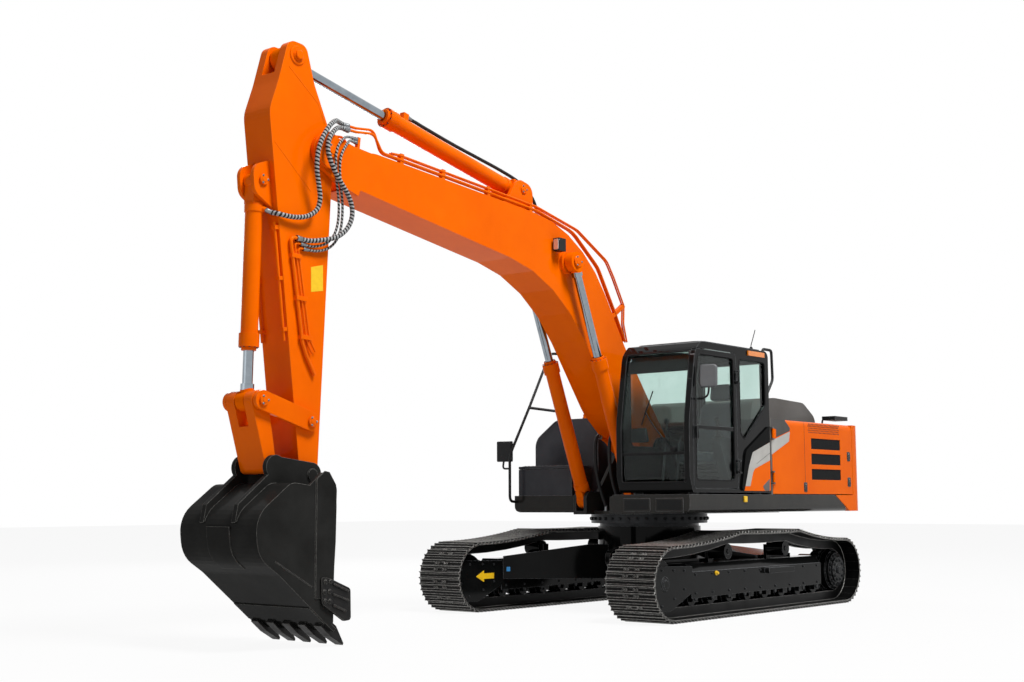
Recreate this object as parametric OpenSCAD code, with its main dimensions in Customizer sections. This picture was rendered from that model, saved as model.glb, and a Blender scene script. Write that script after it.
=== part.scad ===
// Crawler excavator with boom, arm and bucket.
// Millimetres. +X forward, +Y left (cab side), +Z up, origin on the ground on the swing axis.

/* [Pose] */
// Boom angle above level, foot pin to arm pin
boom_angle = 25.7; // [-39:0.1:57]
// Arm angle against level, arm pin to bucket pin
arm_angle = -87.0; // [-120:0.5:0]
// Bucket angle against level, bucket pin to tooth tip
bucket_angle = -97.0; // [-180:0.5:-40]

/* [Undercarriage] */
// Idler centre to sprocket centre
tumbler_dist = 3850; // [3600:10:4100]
// Track centre line to track centre line
track_gauge = 2590; // [2400:10:2800]
// Width of a track shoe
shoe_w = 600; // [500:10:700]
// Radius over the grousers at idler and sprocket
track_r = 395; // [385:1:405]
// Height over the grousers above the carrier rollers
track_top_h = 915; // [880:5:950]
// Shoes in one track
shoe_count = 51; // [45:1:54]
// Height of a grouser
grouser_h = 26; // [18:1:32]
// Thickness of a shoe plate
shoe_t = 12; // [10:1:16]
// Dip of the slack top run
track_sag = 30; // [10:1:45]
// Lower rollers on one side
roller_count = 8; // [6:1:9]

/* [Upper structure] */
// Underside of the revolving frame
deck_z = 1090; // [1060:5:1120]
// Height of the floor on the side decks
floor_z = 1310; // [1290:5:1340]
// Width over the side panels
upper_w = 2930; // [2800:10:3000]
// Front edge of the cab deck
deck_front_x = 1413; // [1380:1:1450]
// Radius of the rear of the counterweight about the swing axis
tail_r = 3140; // [3050:10:3250]
// Depth of the counterweight, front face to rear
cw_depth = 700; // [640:10:760]
// Top of the counterweight and of the side panels
panel_top_z = 2190; // [2130:5:2230]
// Top of the engine hood
hood_top_z = 2500; // [2400:10:2560]
// Thickness of doors and panels
panel_t = 50; // [40:1:60]

/* [Cab] */
// Rear face of the cab
cab_x0 = -330; // [-360:5:-300]
// Foremost face of the cab
cab_x1 = 1400; // [1370:5:1410]
// Inner face of the cab next to the boom
cab_y0 = 520; // [500:5:540]
// Top of the cab roof
cab_top_z = 3010; // [2960:5:3050]
// Thickness of a cab wall
cab_t = 55; // [45:1:70]

/* [Boom] */
// Foot pin to arm pin
boom_len = 6000; // [5800:10:6200]
// Boom foot pin, ahead of the swing axis
boom_foot_x = 80; // [40:5:120]
// Boom foot pin, above the ground
boom_foot_z = 1820; // [1780:5:1860]
// Half the width of the boom box
boom_hw = 230; // [215:1:240]
// Height of the bend of the boom's upper edge over the pin line
boom_rise = 1535; // [1450:5:1600]

/* [Arm] */
// Arm pin to bucket pin
arm_len = 2950; // [2850:10:3100]
// Half the width of the arm box
arm_hw = 175; // [165:1:180]
// Depth of the arm at its elbow
arm_depth = 675; // [640:5:700]

/* [Bucket] */
// Bucket pin to tooth tip
tip_r = 1478; // [1440:1:1485]
// Width of the bucket
bucket_w = 1000; // [900:10:1150]
// Number of teeth
tooth_count = 5; // [4:1:6]

/* [Cylinders] */
// Radius of a boom cylinder barrel
boom_cyl_r = 80; // [70:1:90]
// Radius of the arm cylinder barrel
arm_cyl_r = 88; // [78:1:98]
// Radius of the bucket cylinder barrel
bucket_cyl_r = 76; // [66:1:84]
// Radius of the chromed rods
rod_r = 46; // [38:1:52]
// Boom cylinder foot pin, ahead of the swing axis
bc_foot_x = 830; // [800:5:860]
// Boom cylinder foot pin, above the ground
bc_foot_z = 1260; // [1240:5:1280]

/* [Hidden] */
$fn = 64;

// Running clearance of a pin in its bore
run = 0.05;
race_gap = 0.4;
// Side clearance between moving pieces
gap = 7;
// Seam between fixed and opening panels
seam = 8;

half_w = upper_w / 2;
cw_front_x = cw_depth - tail_r;
half_g = track_gauge / 2;
end_x = tumbler_dist / 2;
shoe_in_r = track_r - grouser_h - shoe_t;
link_h = 105;
rail_r = shoe_in_r - link_h;
roller_r = 80;
carrier_r = 85;
carrier_x = [550, -750];
carrier_z = track_top_h - grouser_h - shoe_t - link_h - carrier_r;
rail_in = 55;
rail_out = 105;
roller_z = track_r - rail_r + roller_r;
frame_hw = 165;
frame_z0 = 328;
frame_z1 = 580;
boom_ear_y = arm_hw + gap + 3;
plate_y0 = boom_hw + 15;
plate_y1 = plate_y0 + 40;
bc_y = plate_y1 + gap + 48;
bc_eye_hw = 48;
bc_boss_y = bc_y - rod_r - 22;
boom_pin_r = 60;
cyl_pin_r = 45;
arm_pin_r = 55;
link_pin_r = 40;

// Plane geometry

function unit(v) = v / norm(v);
function turn(v, a) = [v.x * cos(a) - v.y * sin(a), v.x * sin(a) + v.y * cos(a)];
function wrap(a) = a > 180 ? a - 360 : a < -180 ? a + 360 : a;

// Arc that rounds the corner q between p and s
function corner(p, q, s, r) =
    let (u = unit(p - q), w = unit(s - q), half = acos(u * w) / 2)
    let (c = q + unit(u + w) * r / sin(half), a = q + u * r / tan(half) - c, b = q + w * r / tan(half) - c)
    let (a0 = atan2(a.y, a.x), d = wrap(atan2(b.y, b.x) - a0), n = max(1, ceil(abs(d) / 12)))
    [for (i = [0:n]) c + r * [cos(a0 + d * i / n), sin(a0 + d * i / n)]];

// Outline of corners [x, y, radius]
function rounded(c) =
    let (n = len(c))
    [for (i = [0:n - 1])
        let (p = c[(i + n - 1) % n], q = c[i], s = c[(i + 1) % n])
        each q[2] > 0 ? corner([p.x, p.y], [q.x, q.y], [s.x, s.y], q[2]) : [[q.x, q.y]]];

// Open path with its corners rounded
function rounded_path(c) =
    let (n = len(c))
    [for (i = [0:n - 1]) let (q = c[i])
        each i > 0 && i < n - 1 && q[2] > 0
            ? corner([c[i - 1].x, c[i - 1].y], [q.x, q.y], [c[i + 1].x, c[i + 1].y], q[2])
            : [[q.x, q.y]]];

// Two circles on the X axis, l apart, joined by their tangents
function strap(l, r0, r1) =
    let (b = acos((r0 - r1) / l))
    concat([for (i = [0:14]) let (a = b + (360 - 2 * b) * i / 14) r0 * [cos(a), sin(a)]],
        [for (i = [0:14]) let (a = -b + 2 * b * i / 14) [l, 0] + r1 * [cos(a), sin(a)]]);

// The path moved by t to its left
function offset_path(path, t) =
    let (n = len(path))
    [for (i = [0:n - 1])
        let (d = unit(path[min(i + 1, n - 1)] - path[max(i - 1, 0)])) path[i] + t * [-d.y, d.x]];

// Band of thickness t on the left of an open path
function band(path, t) =
    let (o = offset_path(path, t), n = len(o))
    concat(path, [for (i = [n - 1:-1:0]) o[i]]);

// Upright outline pushed across the machine from y0 to y1
module across(y0, y1) {
    translate([0, y1, 0])
        rotate([90, 0, 0])
            linear_extrude(height = y1 - y0)
                children();
}

// The same on both sides of the centre plane
module both(y0, y1) {
    across(y0, y1) children();
    across(-y1, -y0) children();
}

// Cylinder across the machine
module ycyl(x, z, r, y0, y1) {
    translate([x, y1, z])
        rotate([90, 0, 0])
            cylinder(r = r, h = y1 - y0);
}

// Cylinder along X
module xcyl(r, x0, x1) {
    translate([x0, 0, 0])
        rotate([0, 90, 0])
            cylinder(r = r, h = x1 - x0);
}

// Box between two corners
module block(a, b) {
    translate(a)
        cube(b - a);
}

// Round bar between two points
module bar(p, q, r) {
    d = q - p;
    l = norm(d);
    translate(p)
        rotate([0, acos(d.z / l), atan2(d.y, d.x)])
            cylinder(r = r, h = l);
}

// Path with each corner drawn as a curve that starts d before it
function bent(p, d) =
    let (n = len(p))
    [for (i = [0:n - 1])
        each i == 0 || i == n - 1 ? [p[i]]
            : let (a = p[i] + d * unit(p[i - 1] - p[i]), b = p[i] + d * unit(p[i + 1] - p[i]))
                [for (k = [0:4]) let (t = k / 4) (1 - t) * (1 - t) * a + 2 * t * (1 - t) * p[i] + t * t * b]];

// Tube of radius r along a path; up is never in line with the path
module tube(path, r, up = [0.13, 0.97, 0.21], sides = 10) {
    n = len(path);
    dirs = [for (i = [0:n - 1]) unit(path[min(i + 1, n - 1)] - path[max(i - 1, 0)])];
    rings = [for (i = [0:n - 1])
        let (u = unit(cross(up, dirs[i])), v = cross(dirs[i], u))
        for (j = [0:sides - 1]) path[i] + r * (cos(360 * j / sides) * u + sin(360 * j / sides) * v)];
    walls = [for (i = [0:n - 2], j = [0:sides - 1])
        let (k = (j + 1) % sides)
        [i * sides + j, (i + 1) * sides + j, (i + 1) * sides + k, i * sides + k]];
    first = [for (j = [0:sides - 1]) j];
    last = [for (j = [sides - 1:-1:0]) (n - 1) * sides + j];
    polyhedron(points = rings, faces = concat(walls, [first, last]));
}

// Places of the boom, the arm and the bucket

boom_foot = [boom_foot_x, boom_foot_z];
arm_pin = boom_foot + turn([boom_len, 0], boom_angle);
bucket_pin = arm_pin + turn([arm_len, 0], arm_angle);
bc_foot = [bc_foot_x, bc_foot_z];
// Corners of the boom's upper edge, and the ways along them
boom_top = [[1130, 745], [2455, boom_rise], [boom_len - 390, 300]];
boom_dir = [for (i = [0, 1]) unit(boom_top[i + 1] - boom_top[i])];
// Point d along and h above the stretch i of the upper edge
function over_boom(i, d, h) = boom_top[i] + d * boom_dir[i] + h * [-boom_dir[i].y, boom_dir[i].x];
bc_pin = boom_top[1] + [75, -495];
ac_pin = over_boom(1, 952, 244);
bc_head = boom_foot + turn(bc_pin, boom_angle);
ac_base = boom_foot + turn(ac_pin, boom_angle);
ac_head = arm_pin + turn([-808, 385], arm_angle);
kc_base = arm_pin + turn([397, 645], arm_angle);
link_base = arm_pin + turn([arm_len - 471, 24], arm_angle);
link_head = link_base + turn([583, 0], 16.2);
link_foot = bucket_pin + turn([-114, 409], bucket_angle);

module placed(p, a) {
    translate([p.x, 0, p.y])
        rotate([0, -a, 0])
            children();
}

// Puts +X on the line from p to q
module line_up(p, q) {
    placed(p, atan2(q.y - p.y, q.x - p.x)) children();
}

// Track

belt = [[end_x, track_r, shoe_in_r],
    [carrier_x[0], carrier_z, carrier_r + link_h],
    [carrier_x[1], carrier_z, carrier_r + link_h],
    [-end_x, track_r, shoe_in_r]];

// Angle of the outward normal on each straight run of the belt
belt_na = [for (i = [0:3])
    let (a = belt[i], b = belt[(i + 1) % 4], d = norm([b.x - a.x, b.y - a.y]))
    atan2(b.y - a.y, b.x - a.x) - acos((a[2] - b[2]) / d)];
belt_turn = [for (i = [0:3]) (belt_na[i] - belt_na[(i + 3) % 4] + 720) % 360];
belt_run = [for (i = [0:3])
    let (a = belt[i], b = belt[(i + 1) % 4], d = norm([b.x - a.x, b.y - a.y]))
    sqrt(d * d - (a[2] - b[2]) * (a[2] - b[2]))];
belt_arc = [for (i = [0:3]) belt[i][2] * belt_turn[i] * PI / 180];
belt_dip = [track_sag, track_sag / 3, track_sag, 0];
function belt_sum(k) = k == 0 ? 0 : belt_sum(k - 1) + belt_arc[k - 1] + belt_run[k - 1];
belt_start = [for (k = [0:4]) belt_sum(k)];
belt_len = belt_start[4];

// Point at the length s along the belt, h outside its inner shoe face
function belt_at(s0, h) =
    let (s = (s0 % belt_len + belt_len) % belt_len)
    let (k = max([for (j = [0:3]) if (belt_start[j] <= s) j]), c = belt[k], d = s - belt_start[k])
    d < belt_arc[k]
        ? let (a = belt_na[(k + 3) % 4] + d / c[2] * 180 / PI)
            [c.x + (c[2] + h) * cos(a), c.y + (c[2] + h) * sin(a)]
        : let (a = belt_na[k], e = d - belt_arc[k], t = e / belt_run[k])
            [c.x + (c[2] + h) * cos(a) - e * sin(a),
             c.y + (c[2] + h) * sin(a) + e * cos(a) - 4 * belt_dip[k] * t * (1 - t)];

shoe_pitch = belt_len / shoe_count;
// Outline of one grouser: [offset, height]
grouser = [[-15, shoe_t], [0, shoe_t + grouser_h], [15, shoe_t]];
shoe_line = [for (j = [0:shoe_count - 1], g = [-1, 0, 1], q = grouser)
    belt_at((j + 0.5 + g * 0.34) * shoe_pitch + q.x, q.y)];

// Stations along the belt, closer on the bends
belt_stations = [for (k = [0:3])
    each concat([for (i = [0:max(2, round(belt_turn[k] / 18)) - 1])
            belt_start[k] + belt_arc[k] * i / max(2, round(belt_turn[k] / 18))],
        [for (i = [0:3]) belt_start[k] + belt_arc[k] + belt_run[k] * i / 4])];

function belt_ring(h) = [for (s = belt_stations) belt_at(s, h)];

module track(side) {
    yc = side * half_g;
    across(yc - shoe_w / 2, yc + shoe_w / 2)
        difference() {
            polygon(shoe_line);
            polygon(belt_ring(0));
        }
    for (m = [-1, 1])
        across(yc + m * (rail_in + rail_out) / 2 - (rail_out - rail_in) / 2,
               yc + m * (rail_in + rail_out) / 2 + (rail_out - rail_in) / 2)
            difference() {
                polygon(belt_ring(0));
                polygon(belt_ring(-link_h));
            }
}

module track_left() {
    color("#2b2b2d") track(1);
}

module track_right() {
    color("#2b2b2d") track(-1);
}

// Track frame: box beam with side walls, idler guards, drive plate and step
module track_frame(side) {
    wall = frame_hw + 14;
    translate([0, side * half_g, 0]) {
        translate([-1480, 0, 0])
            rotate([90, 0, 90])
                linear_extrude(height = 2900)
                    polygon([[-frame_hw, frame_z0], [frame_hw, frame_z0], [frame_hw, 500],
                        [110, frame_z1], [-110, frame_z1], [-frame_hw, 500]]);
        for (m = [-1, 1]) {
            across(m * 142 - 22, m * 142 + 22)
                polygon(rounded([[1400, 340, 0], [end_x + 75, 340, 50], [end_x + 75, 460, 50], [1400,
                    480, 0]]));
            across(m > 0 ? frame_hw : -wall, m > 0 ? wall : -frame_hw) {
                polygon(rounded([[-1480, 245, 20], [1420, 225, 0], [1420, 500, 0], [-1480, 500, 20]]));
                polygon(rounded([[1400, 560, 20], [1400, 290, 40], [end_x - 90, 112, 30], [end_x + 150,
                    122, 60],
                    [end_x + 275, 290, 60], [end_x + 275, 490, 60], [end_x + 150, 580, 60]]));
            }
        }
        across(-side * 142 - 22, -side * 142 + 22)
            difference() {
                polygon(rounded([[-1400, frame_z0, 0], [-1400, 500, 0], [-end_x - 100, 560, 150],
                    [-end_x - 150, 260, 150], [-1500, frame_z0, 0]]));
                translate([-end_x, track_r]) circle(r = 190);
            }
        for (x = carrier_x)
            block([x - 45, -side * 140 - 20, 480], [x + 45, -side * 140 + 20, carrier_z + 45]);
        across(side > 0 ? wall : -wall - 60, side > 0 ? wall + 60 : -wall)
            polygon(rounded([[-720, 425, 20], [-120, 425, 20], [-120, 485, 20], [-720, 485, 20]]));
    }
}

module track_frame_left() {
    color("#2e2f31") track_frame(1);
}

module track_frame_right() {
    color("#2e2f31") track_frame(-1);
}

// Car body: drum, crossed legs and towing lugs
leg_y = half_g - frame_hw - 14;

module center_frame() {
    color("#2e2f31") {
        difference() {
            translate([0, 0, 480])
                cylinder(r = 610, h = 470);
            translate([0, 0, 470])
                cylinder(r = 470, h = 490);
        }
        for (sx = [-1, 1], sy = [-1, 1])
            difference() {
                translate([0, 0, frame_z0 + 20])
                    linear_extrude(height = 740 - frame_z0 - 20)
                        polygon([[sx * 180, sy * 420], [sx * 560, sy * 170], [sx * 1390, sy * leg_y],
                            [sx * 560, sy * leg_y]]);
                translate([0, 0, frame_z0])
                    cylinder(r = 540, h = 740);
                translate([sx * 900, sy * leg_y, 610])
                    rotate([-sy * 10, 0, 0])
                        translate([-700, sy > 0 ? -1300 : -200, 0])
                            cube([1400, 1500, 400]);
            }
        for (sx = [-1, 1])
            difference() {
                across(-35, 35)
                    polygon(rounded([[sx * 590, 500, 0], [sx * 860, 500, 60], [sx * 860, 660, 60],
                        [sx * 590, 720, 0]]));
                ycyl(sx * 780, 580, 42, -40, 40);
            }
    }
}

module rollers() {
    color("#333436")
        for (side = [-1, 1]) {
            yc = side * half_g;
            for (i = [0:roller_count - 1]) {
                x = -1400 + 2720 * i / (roller_count - 1);
                ycyl(x, roller_z, roller_r, yc - 112, yc + 112);
                ycyl(x, roller_z, roller_r + 16, yc - 48, yc + 48);
                ycyl(x, roller_z, 36, yc - 160, yc + 160);
                for (m = [-1, 1])
                    block([x - 50, yc + m * 138 - 20, roller_z - 40], [x + 50, yc + m * 138 + 20,
                        frame_z0]);
            }
            for (x = carrier_x) {
                ycyl(x, carrier_z, carrier_r - 0.5, yc - 110, yc + 110);
                ycyl(x, carrier_z, 30, yc - 120, yc + 120);
            }
        }
}

module idlers() {
    color("#333436")
        for (side = [-1, 1]) {
            yc = side * half_g;
            ycyl(end_x, track_r, rail_r - 3, yc - 108, yc + 108);
            ycyl(end_x, track_r, rail_r + 20, yc - 48, yc + 48);
            ycyl(end_x, track_r, 48, yc - 120, yc + 120);
        }
}

module sprockets() {
    teeth = 23;
    color("#333436")
        for (side = [-1, 1]) {
            yc = side * half_g;
            across(yc - 38, yc + 38)
                translate([-end_x, track_r])
                    polygon([for (i = [0:teeth - 1], q = [[-0.3, 268], [-0.14, 306], [0.14, 306], [0.3,
                        268]])
                        q.y * [cos((i + q.x) * 360 / teeth), sin((i + q.x) * 360 / teeth)]]);
            ycyl(-end_x, track_r, 236, yc - 120, yc + 120);
            for (q = [[120, 160, 205], [160, 190, 150]])
                ycyl(-end_x, track_r, q[2], side > 0 ? yc + q[0] : yc - q[1],
                    side > 0 ? yc + q[1] : yc - q[0]);
            ycyl(-end_x, track_r, 186, side > 0 ? yc - 320 : yc + 120, side > 0 ? yc - 120 : yc + 320);
        }
}

module ring(r0, r1, z0, z1) {
    difference() {
        translate([0, 0, z0])
            cylinder(r = r1, h = z1 - z0);
        translate([0, 0, z0 - 1])
            cylinder(r = r0, h = z1 - z0 + 2);
    }
}

module race_inner() {
    color("#4a4b4d") ring(500, 588, 950, 1055);
}

module race_outer() {
    color("#4a4b4d") ring(588 + race_gap, 690, 985, deck_z);
}

frame_x0 = cw_front_x + 40;
bc_plate_r = 100;
// Lower rear end of the skirts
skirt_x = cw_front_x + 130;

// Revolving frame: bottom plate, boom brackets, side decks and skirts
module main_frame() {
    color("#3a3b3d") {
        difference() {
            union() {
                block([frame_x0, -430, deck_z], [760, 430, deck_z + 40]);
                for (m = [-1, 1])
                    block([600, m > 0 ? plate_y0 : -430, deck_z], [930, m > 0 ? 430 : -plate_y0,
                        deck_z + 40]);
            }
            translate([0, 0, deck_z - 1])
                cylinder(r = 200, h = 50);
        }
        both(plate_y0, plate_y1) {
            polygon(rounded([[frame_x0, deck_z, 0], [bc_foot.x + bc_plate_r, deck_z, 0],
                [bc_foot.x + bc_plate_r, bc_foot.y, 0], [bc_foot.x - 30, bc_foot.y + 85, 0],
                [bc_foot.x - 150, bc_foot.y + 90, 40], [330, 1780, 200], [200, 1990, 140], [-40, 1990, 140],
                [-420, 1640, 300], [-800, 1380, 200], [frame_x0, 1380, 0]]));
            translate(bc_foot) circle(r = bc_plate_r);
        }
        both(2 * bc_y - plate_y1, 2 * bc_y - plate_y1 + 35) {
            polygon([[600, deck_z], [bc_foot.x + bc_plate_r, deck_z], [bc_foot.x + bc_plate_r, bc_foot.y],
                [bc_foot.x - 60, bc_foot.y + 80], [600, bc_foot.y - 60]]);
            translate(bc_foot) circle(r = bc_plate_r);
        }
        ycyl(boom_foot.x, boom_foot.y, boom_pin_r, -plate_y1 - 30, plate_y1 + 30);
        for (m = [-1, 1])
            ycyl(bc_foot.x, bc_foot.y, cyl_pin_r, bc_y * m - 64, bc_y * m + 64);
        deck_side(1, deck_front_x);
        deck_side(-1, 745);
    }
}

// Floor, skirt and cross beams of one side deck
module deck_side(m, front_x) {
    y0 = 430;
    y1 = half_w - 80;
    skirt = rounded([[front_x, floor_z - 200, 30], [front_x, floor_z, 0], [skirt_x + 385, floor_z, 0],
        [skirt_x, floor_z - 200, 0]]);
    edge = rounded([[half_w - 80, floor_z, 0], [half_w - 80, floor_z - 200, 0], [half_w, floor_z - 200, 75],
        [half_w, floor_z, 0]]);
    intersection() {
        across(m > 0 ? y1 : -half_w, m > 0 ? half_w : -y1)
            polygon(skirt);
        translate([skirt_x - 100, 0, 0])
            rotate([90, 0, 90])
                linear_extrude(height = front_x - skirt_x + 200)
                    polygon([for (q = edge) [m * q.x, q.y]]);
    }
    for (x = [front_x - 30, 250, -650, -1550, skirt_x + 40])
        block([x - 30, m > 0 ? y0 : -y1, deck_z + 20], [x + 30, m > 0 ? y1 : -y0, floor_z - 20]);
    block([frame_x0, m > 0 ? 470 : -y1, floor_z - 20], [front_x, m > 0 ? y1 : -470, floor_z]);
}

// Counterweight turned about the swing axis and cut to the machine's width
module counterweight() {
    color("#f26a10") {
        intersection() {
            rotate_extrude()
                polygon([[0, deck_z + 20], [tail_r - 50, deck_z + 20], [tail_r, deck_z + 90],
                    [tail_r, panel_top_z - 190], [tail_r - 25, panel_top_z - 80], [tail_r - 90,
                        panel_top_z - 20],
                    [tail_r - 200, panel_top_z], [0, panel_top_z]]);
            translate([0, 0, 1000])
                linear_extrude(height = 1500)
                    polygon(rounded([[cw_front_x, -half_w, 0], [cw_front_x, half_w, 0],
                        [cw_front_x - 160, half_w, 240],
                        [-tail_r - 60, 900, 0], [-tail_r - 60, -900, 0], [cw_front_x - 160, -half_w,
                            240]]));
        }
        both(half_w - 75, half_w)
            polygon([[cw_front_x, deck_z + 20], [skirt_x - 20, deck_z + 20], [skirt_x + 355, floor_z - 3],
                [cw_front_x, floor_z - 3]]);
    }
}

// Cab seen from the side, its outline drawn in by t
function cab_side(t) = rounded([[cab_x0 + t, floor_z + 20 + t, 50], [cab_x1 - 60 - t * 0.6,
    floor_z + 20 + t, 30],
    [cab_x1 - t, floor_z + 190, 120], [cab_x1 - t, floor_z + 760, 500], [cab_x1 - 135 - t,
        cab_top_z - 160, 200],
    [cab_x1 - 260 - t, cab_top_z - 50 - t, 80], [cab_x0 + t, cab_top_z - 50 - t, 80]]);

// Openings of the cab walls
door_x0 = 400;
door_x1 = 1325;
door_z0 = floor_z + 60;
door_z1 = cab_top_z - 125;
quarter = [[330, 2830, 40], [-250, 2830, 60], [-250, 2330, 60], [250, 1910, 60], [330, 2000, 60]];
front_y = [cab_y0 + 65, half_w - 65];
front_z = [1440, 2850];
right_x = [-200, 1180];
right_z = [1850, 2830];
rear_y = [cab_y0 + 90, half_w - 90];
rear_z = [1950, 2820];

module cab_openings() {
    block([cab_x1 - 320, front_y[0], front_z[0]], [cab_x1 + 10, front_y[1], front_z[1]]);
    across(cab_y0 - 1, cab_y0 + cab_t + 1)
        polygon(rounded([[right_x[0], right_z[0], 60], [right_x[1], right_z[0], 60],
            [right_x[1], right_z[1], 60], [right_x[0], right_z[1], 60]]));
    block([cab_x0 - 1, rear_y[0], rear_z[0]], [cab_x0 + cab_t + 1, rear_y[1], rear_z[1]]);
    across(half_w - cab_t - 1, half_w + 1)
        polygon(rounded(quarter));
    across(half_w - cab_t - 1, half_w + 1)
        polygon(rounded([[door_x0, door_z0, 40], [door_x1, door_z0, 60], [door_x1, 2500, 500],
            [door_x1 - 70, door_z1, 60], [door_x0, door_z1, 50]]));
}

module cab_shell() {
    color("#333436") {
        difference() {
            across(cab_y0, half_w)
                polygon(cab_side(0));
            across(cab_y0 + cab_t, half_w - cab_t)
                polygon(cab_side(cab_t));
            cab_openings();
        }
        for (x = [-200, 1150], y = [640, 1340])
            translate([x, y, floor_z])
                cylinder(r = 60, h = 30);
        for (z = [1560, 2560])
            hinge_pin(door_x0 + 4, hinge_y, z, [door_x0 - 28, half_w - 5], [door_x0 - 4, hinge_y + 12]);
    }
}

module cab_roof() {
    color("#3f4042")
        translate([0, 0, cab_top_z - 50])
            linear_extrude(height = 16)
                polygon(rounded([[cab_x0 + 40, cab_y0 + 40, 120], [cab_x1 - 330, cab_y0 + 40, 120],
                    [cab_x1 - 330, half_w - 40, 120], [cab_x0 + 40, half_w - 40, 120]]));
}

module cab_glass() {
    color("#9fb7b5", 0.4) {
        intersection() {
            across(front_y[0], front_y[1])
                difference() {
                    polygon(cab_side(20));
                    polygon(cab_side(28));
                }
            block([cab_x1 - 320, front_y[0], front_z[0]], [cab_x1, front_y[1], front_z[1]]);
        }
        across(cab_y0 + 20, cab_y0 + 28)
            polygon(rounded([[right_x[0], right_z[0], 60], [right_x[1], right_z[0], 60],
                [right_x[1], right_z[1], 60], [right_x[0], right_z[1], 60]]));
        block([cab_x0 + 20, rear_y[0], rear_z[0]], [cab_x0 + 28, rear_y[1], rear_z[1]]);
        across(half_w - 28, half_w - 20)
            polygon(rounded(quarter));
    }
}

hinge_y = half_w + 22;
hinge_pin_r = 8;
hinge_r = 16;
hinge_h = 110;

// Knuckle of an upright hinge
module knuckle(x, y, z) {
    difference() {
        children();
        translate([x, y, z - 1])
            cylinder(r = hinge_pin_r + run, h = hinge_h + 2);
    }
}

// Fixed pin of an upright hinge, held in two lugs between the points a and b
module hinge_pin(x, y, z, a, b) {
    translate([x, y, z - 15])
        cylinder(r = hinge_pin_r, h = hinge_h + 30);
    for (q = [z - 20, z + hinge_h + 2]) {
        block([a.x, a.y, q], [b.x, b.y, q + 18]);
        translate([x, y, q])
            cylinder(r = 12, h = 18);
    }
}

function door_hole(t) = rounded([[door_x0 + 60 + t, door_z0 + 90 + t, 60], [door_x1 - 60 - t,
    door_z0 + 90 + t, 60],
    [door_x1 - 65 - t, 2450, 400], [door_x1 - 125 - t, door_z1 - 60 - t, 60], [door_x0 + 60 + t,
        door_z1 - 60 - t, 60]]);

module cab_door() {
    color("#333436") {
        across(half_w - panel_t, half_w)
            difference() {
                polygon(rounded([[door_x0 + seam, door_z0 + seam, 32], [door_x1 - seam, door_z0 + seam, 52],
                    [door_x1 - seam, 2500, 500], [door_x1 - 70 - seam, door_z1 - seam, 52],
                    [door_x0 + seam, door_z1 - seam, 42]]));
                polygon(door_hole(0));
            }
        block([door_x0 + 30, half_w - 45, 2010], [door_x1 - 30, half_w - 5, 2050]);
        for (z = [1560, 2560])
            knuckle(door_x0 + 4, hinge_y, z) {
                union() {
                    translate([door_x0 + 4, hinge_y, z])
                        cylinder(r = hinge_r, h = hinge_h);
                    block([door_x0 + 12, half_w - 5, z + 10], [door_x0 + 55, half_w + 30, z + 100]);
                }
            }
        block([door_x1 - 70, half_w - 5, 1900], [door_x1 - 35, half_w + 30, 2040]);
    }
}

module cab_door_glass() {
    color("#9fb7b5", 0.4)
        difference() {
            across(half_w - 30, half_w - 22)
                polygon(door_hole(0));
            block([door_x0, half_w - 46, 2010], [door_x1, half_w, 2050]);
        }
}

seat_y = (cab_y0 + half_w) / 2;
cab_floor = floor_z + 20 + cab_t;

module seat() {
    color("#2c3440") {
        block([130, seat_y - 220, cab_floor], [560, seat_y + 220, cab_floor + 260]);
        across(seat_y - 250, seat_y + 250)
            polygon(rounded([[80, cab_floor + 260, 30], [620, cab_floor + 260, 40], [640,
                cab_floor + 400, 60],
                [190, cab_floor + 370, 40], [30, cab_floor + 1000, 40], [-110, cab_floor + 1000, 40],
                [60, cab_floor + 330, 60]]));
        across(seat_y - 140, seat_y + 140)
            polygon(rounded([[-110, cab_floor + 1000, 0], [15, cab_floor + 1000, 0], [-15,
                cab_floor + 1210, 40],
                [-125, cab_floor + 1210, 40]]));
    }
}

module consoles() {
    color("#26282b") {
        for (m = [-1, 1]) {
            y = seat_y + m * 330;
            across(y - 60, y + 60)
                polygon(rounded([[0, cab_floor, 0], [420, cab_floor, 0], [640, cab_floor + 480, 40],
                    [640, cab_floor + 560, 40], [0, cab_floor + 520, 40]]));
            bar([570, y, cab_floor + 530], [600, y, cab_floor + 740], 18);
            translate([602, y, cab_floor + 760])
                sphere(r = 32);
        }
        for (m = [-1, 1]) {
            bar([1080, seat_y + m * 90, cab_floor + 20], [980, seat_y + m * 90, cab_floor + 560], 14);
            block([1000, seat_y + m * 90 - 55, cab_floor], [1250, seat_y + m * 90 + 55, cab_floor + 60]);
        }
    }
}

// Lower rear corner cover behind the cab door
module corner_panel() {
    color("#f26a10")
        across(half_w, half_w + 20)
            polygon(rounded([[360, floor_z + 40, 40], [cab_x0 + 40, floor_z + 40, 20], [cab_x0 + 40,
                2100, 20],
                [250, 1800, 120]]));
}

side_x0 = cw_front_x + 12;
side_x1 = cab_x0 - 50;
post_x = cab_x0 - 12;
pump_x = -1330;
tank_y = -500;
hood_x0 = cw_front_x + 60;
hood_x1 = -700;
hood_y0 = -460;
hood_y1 = 1000;

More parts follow.
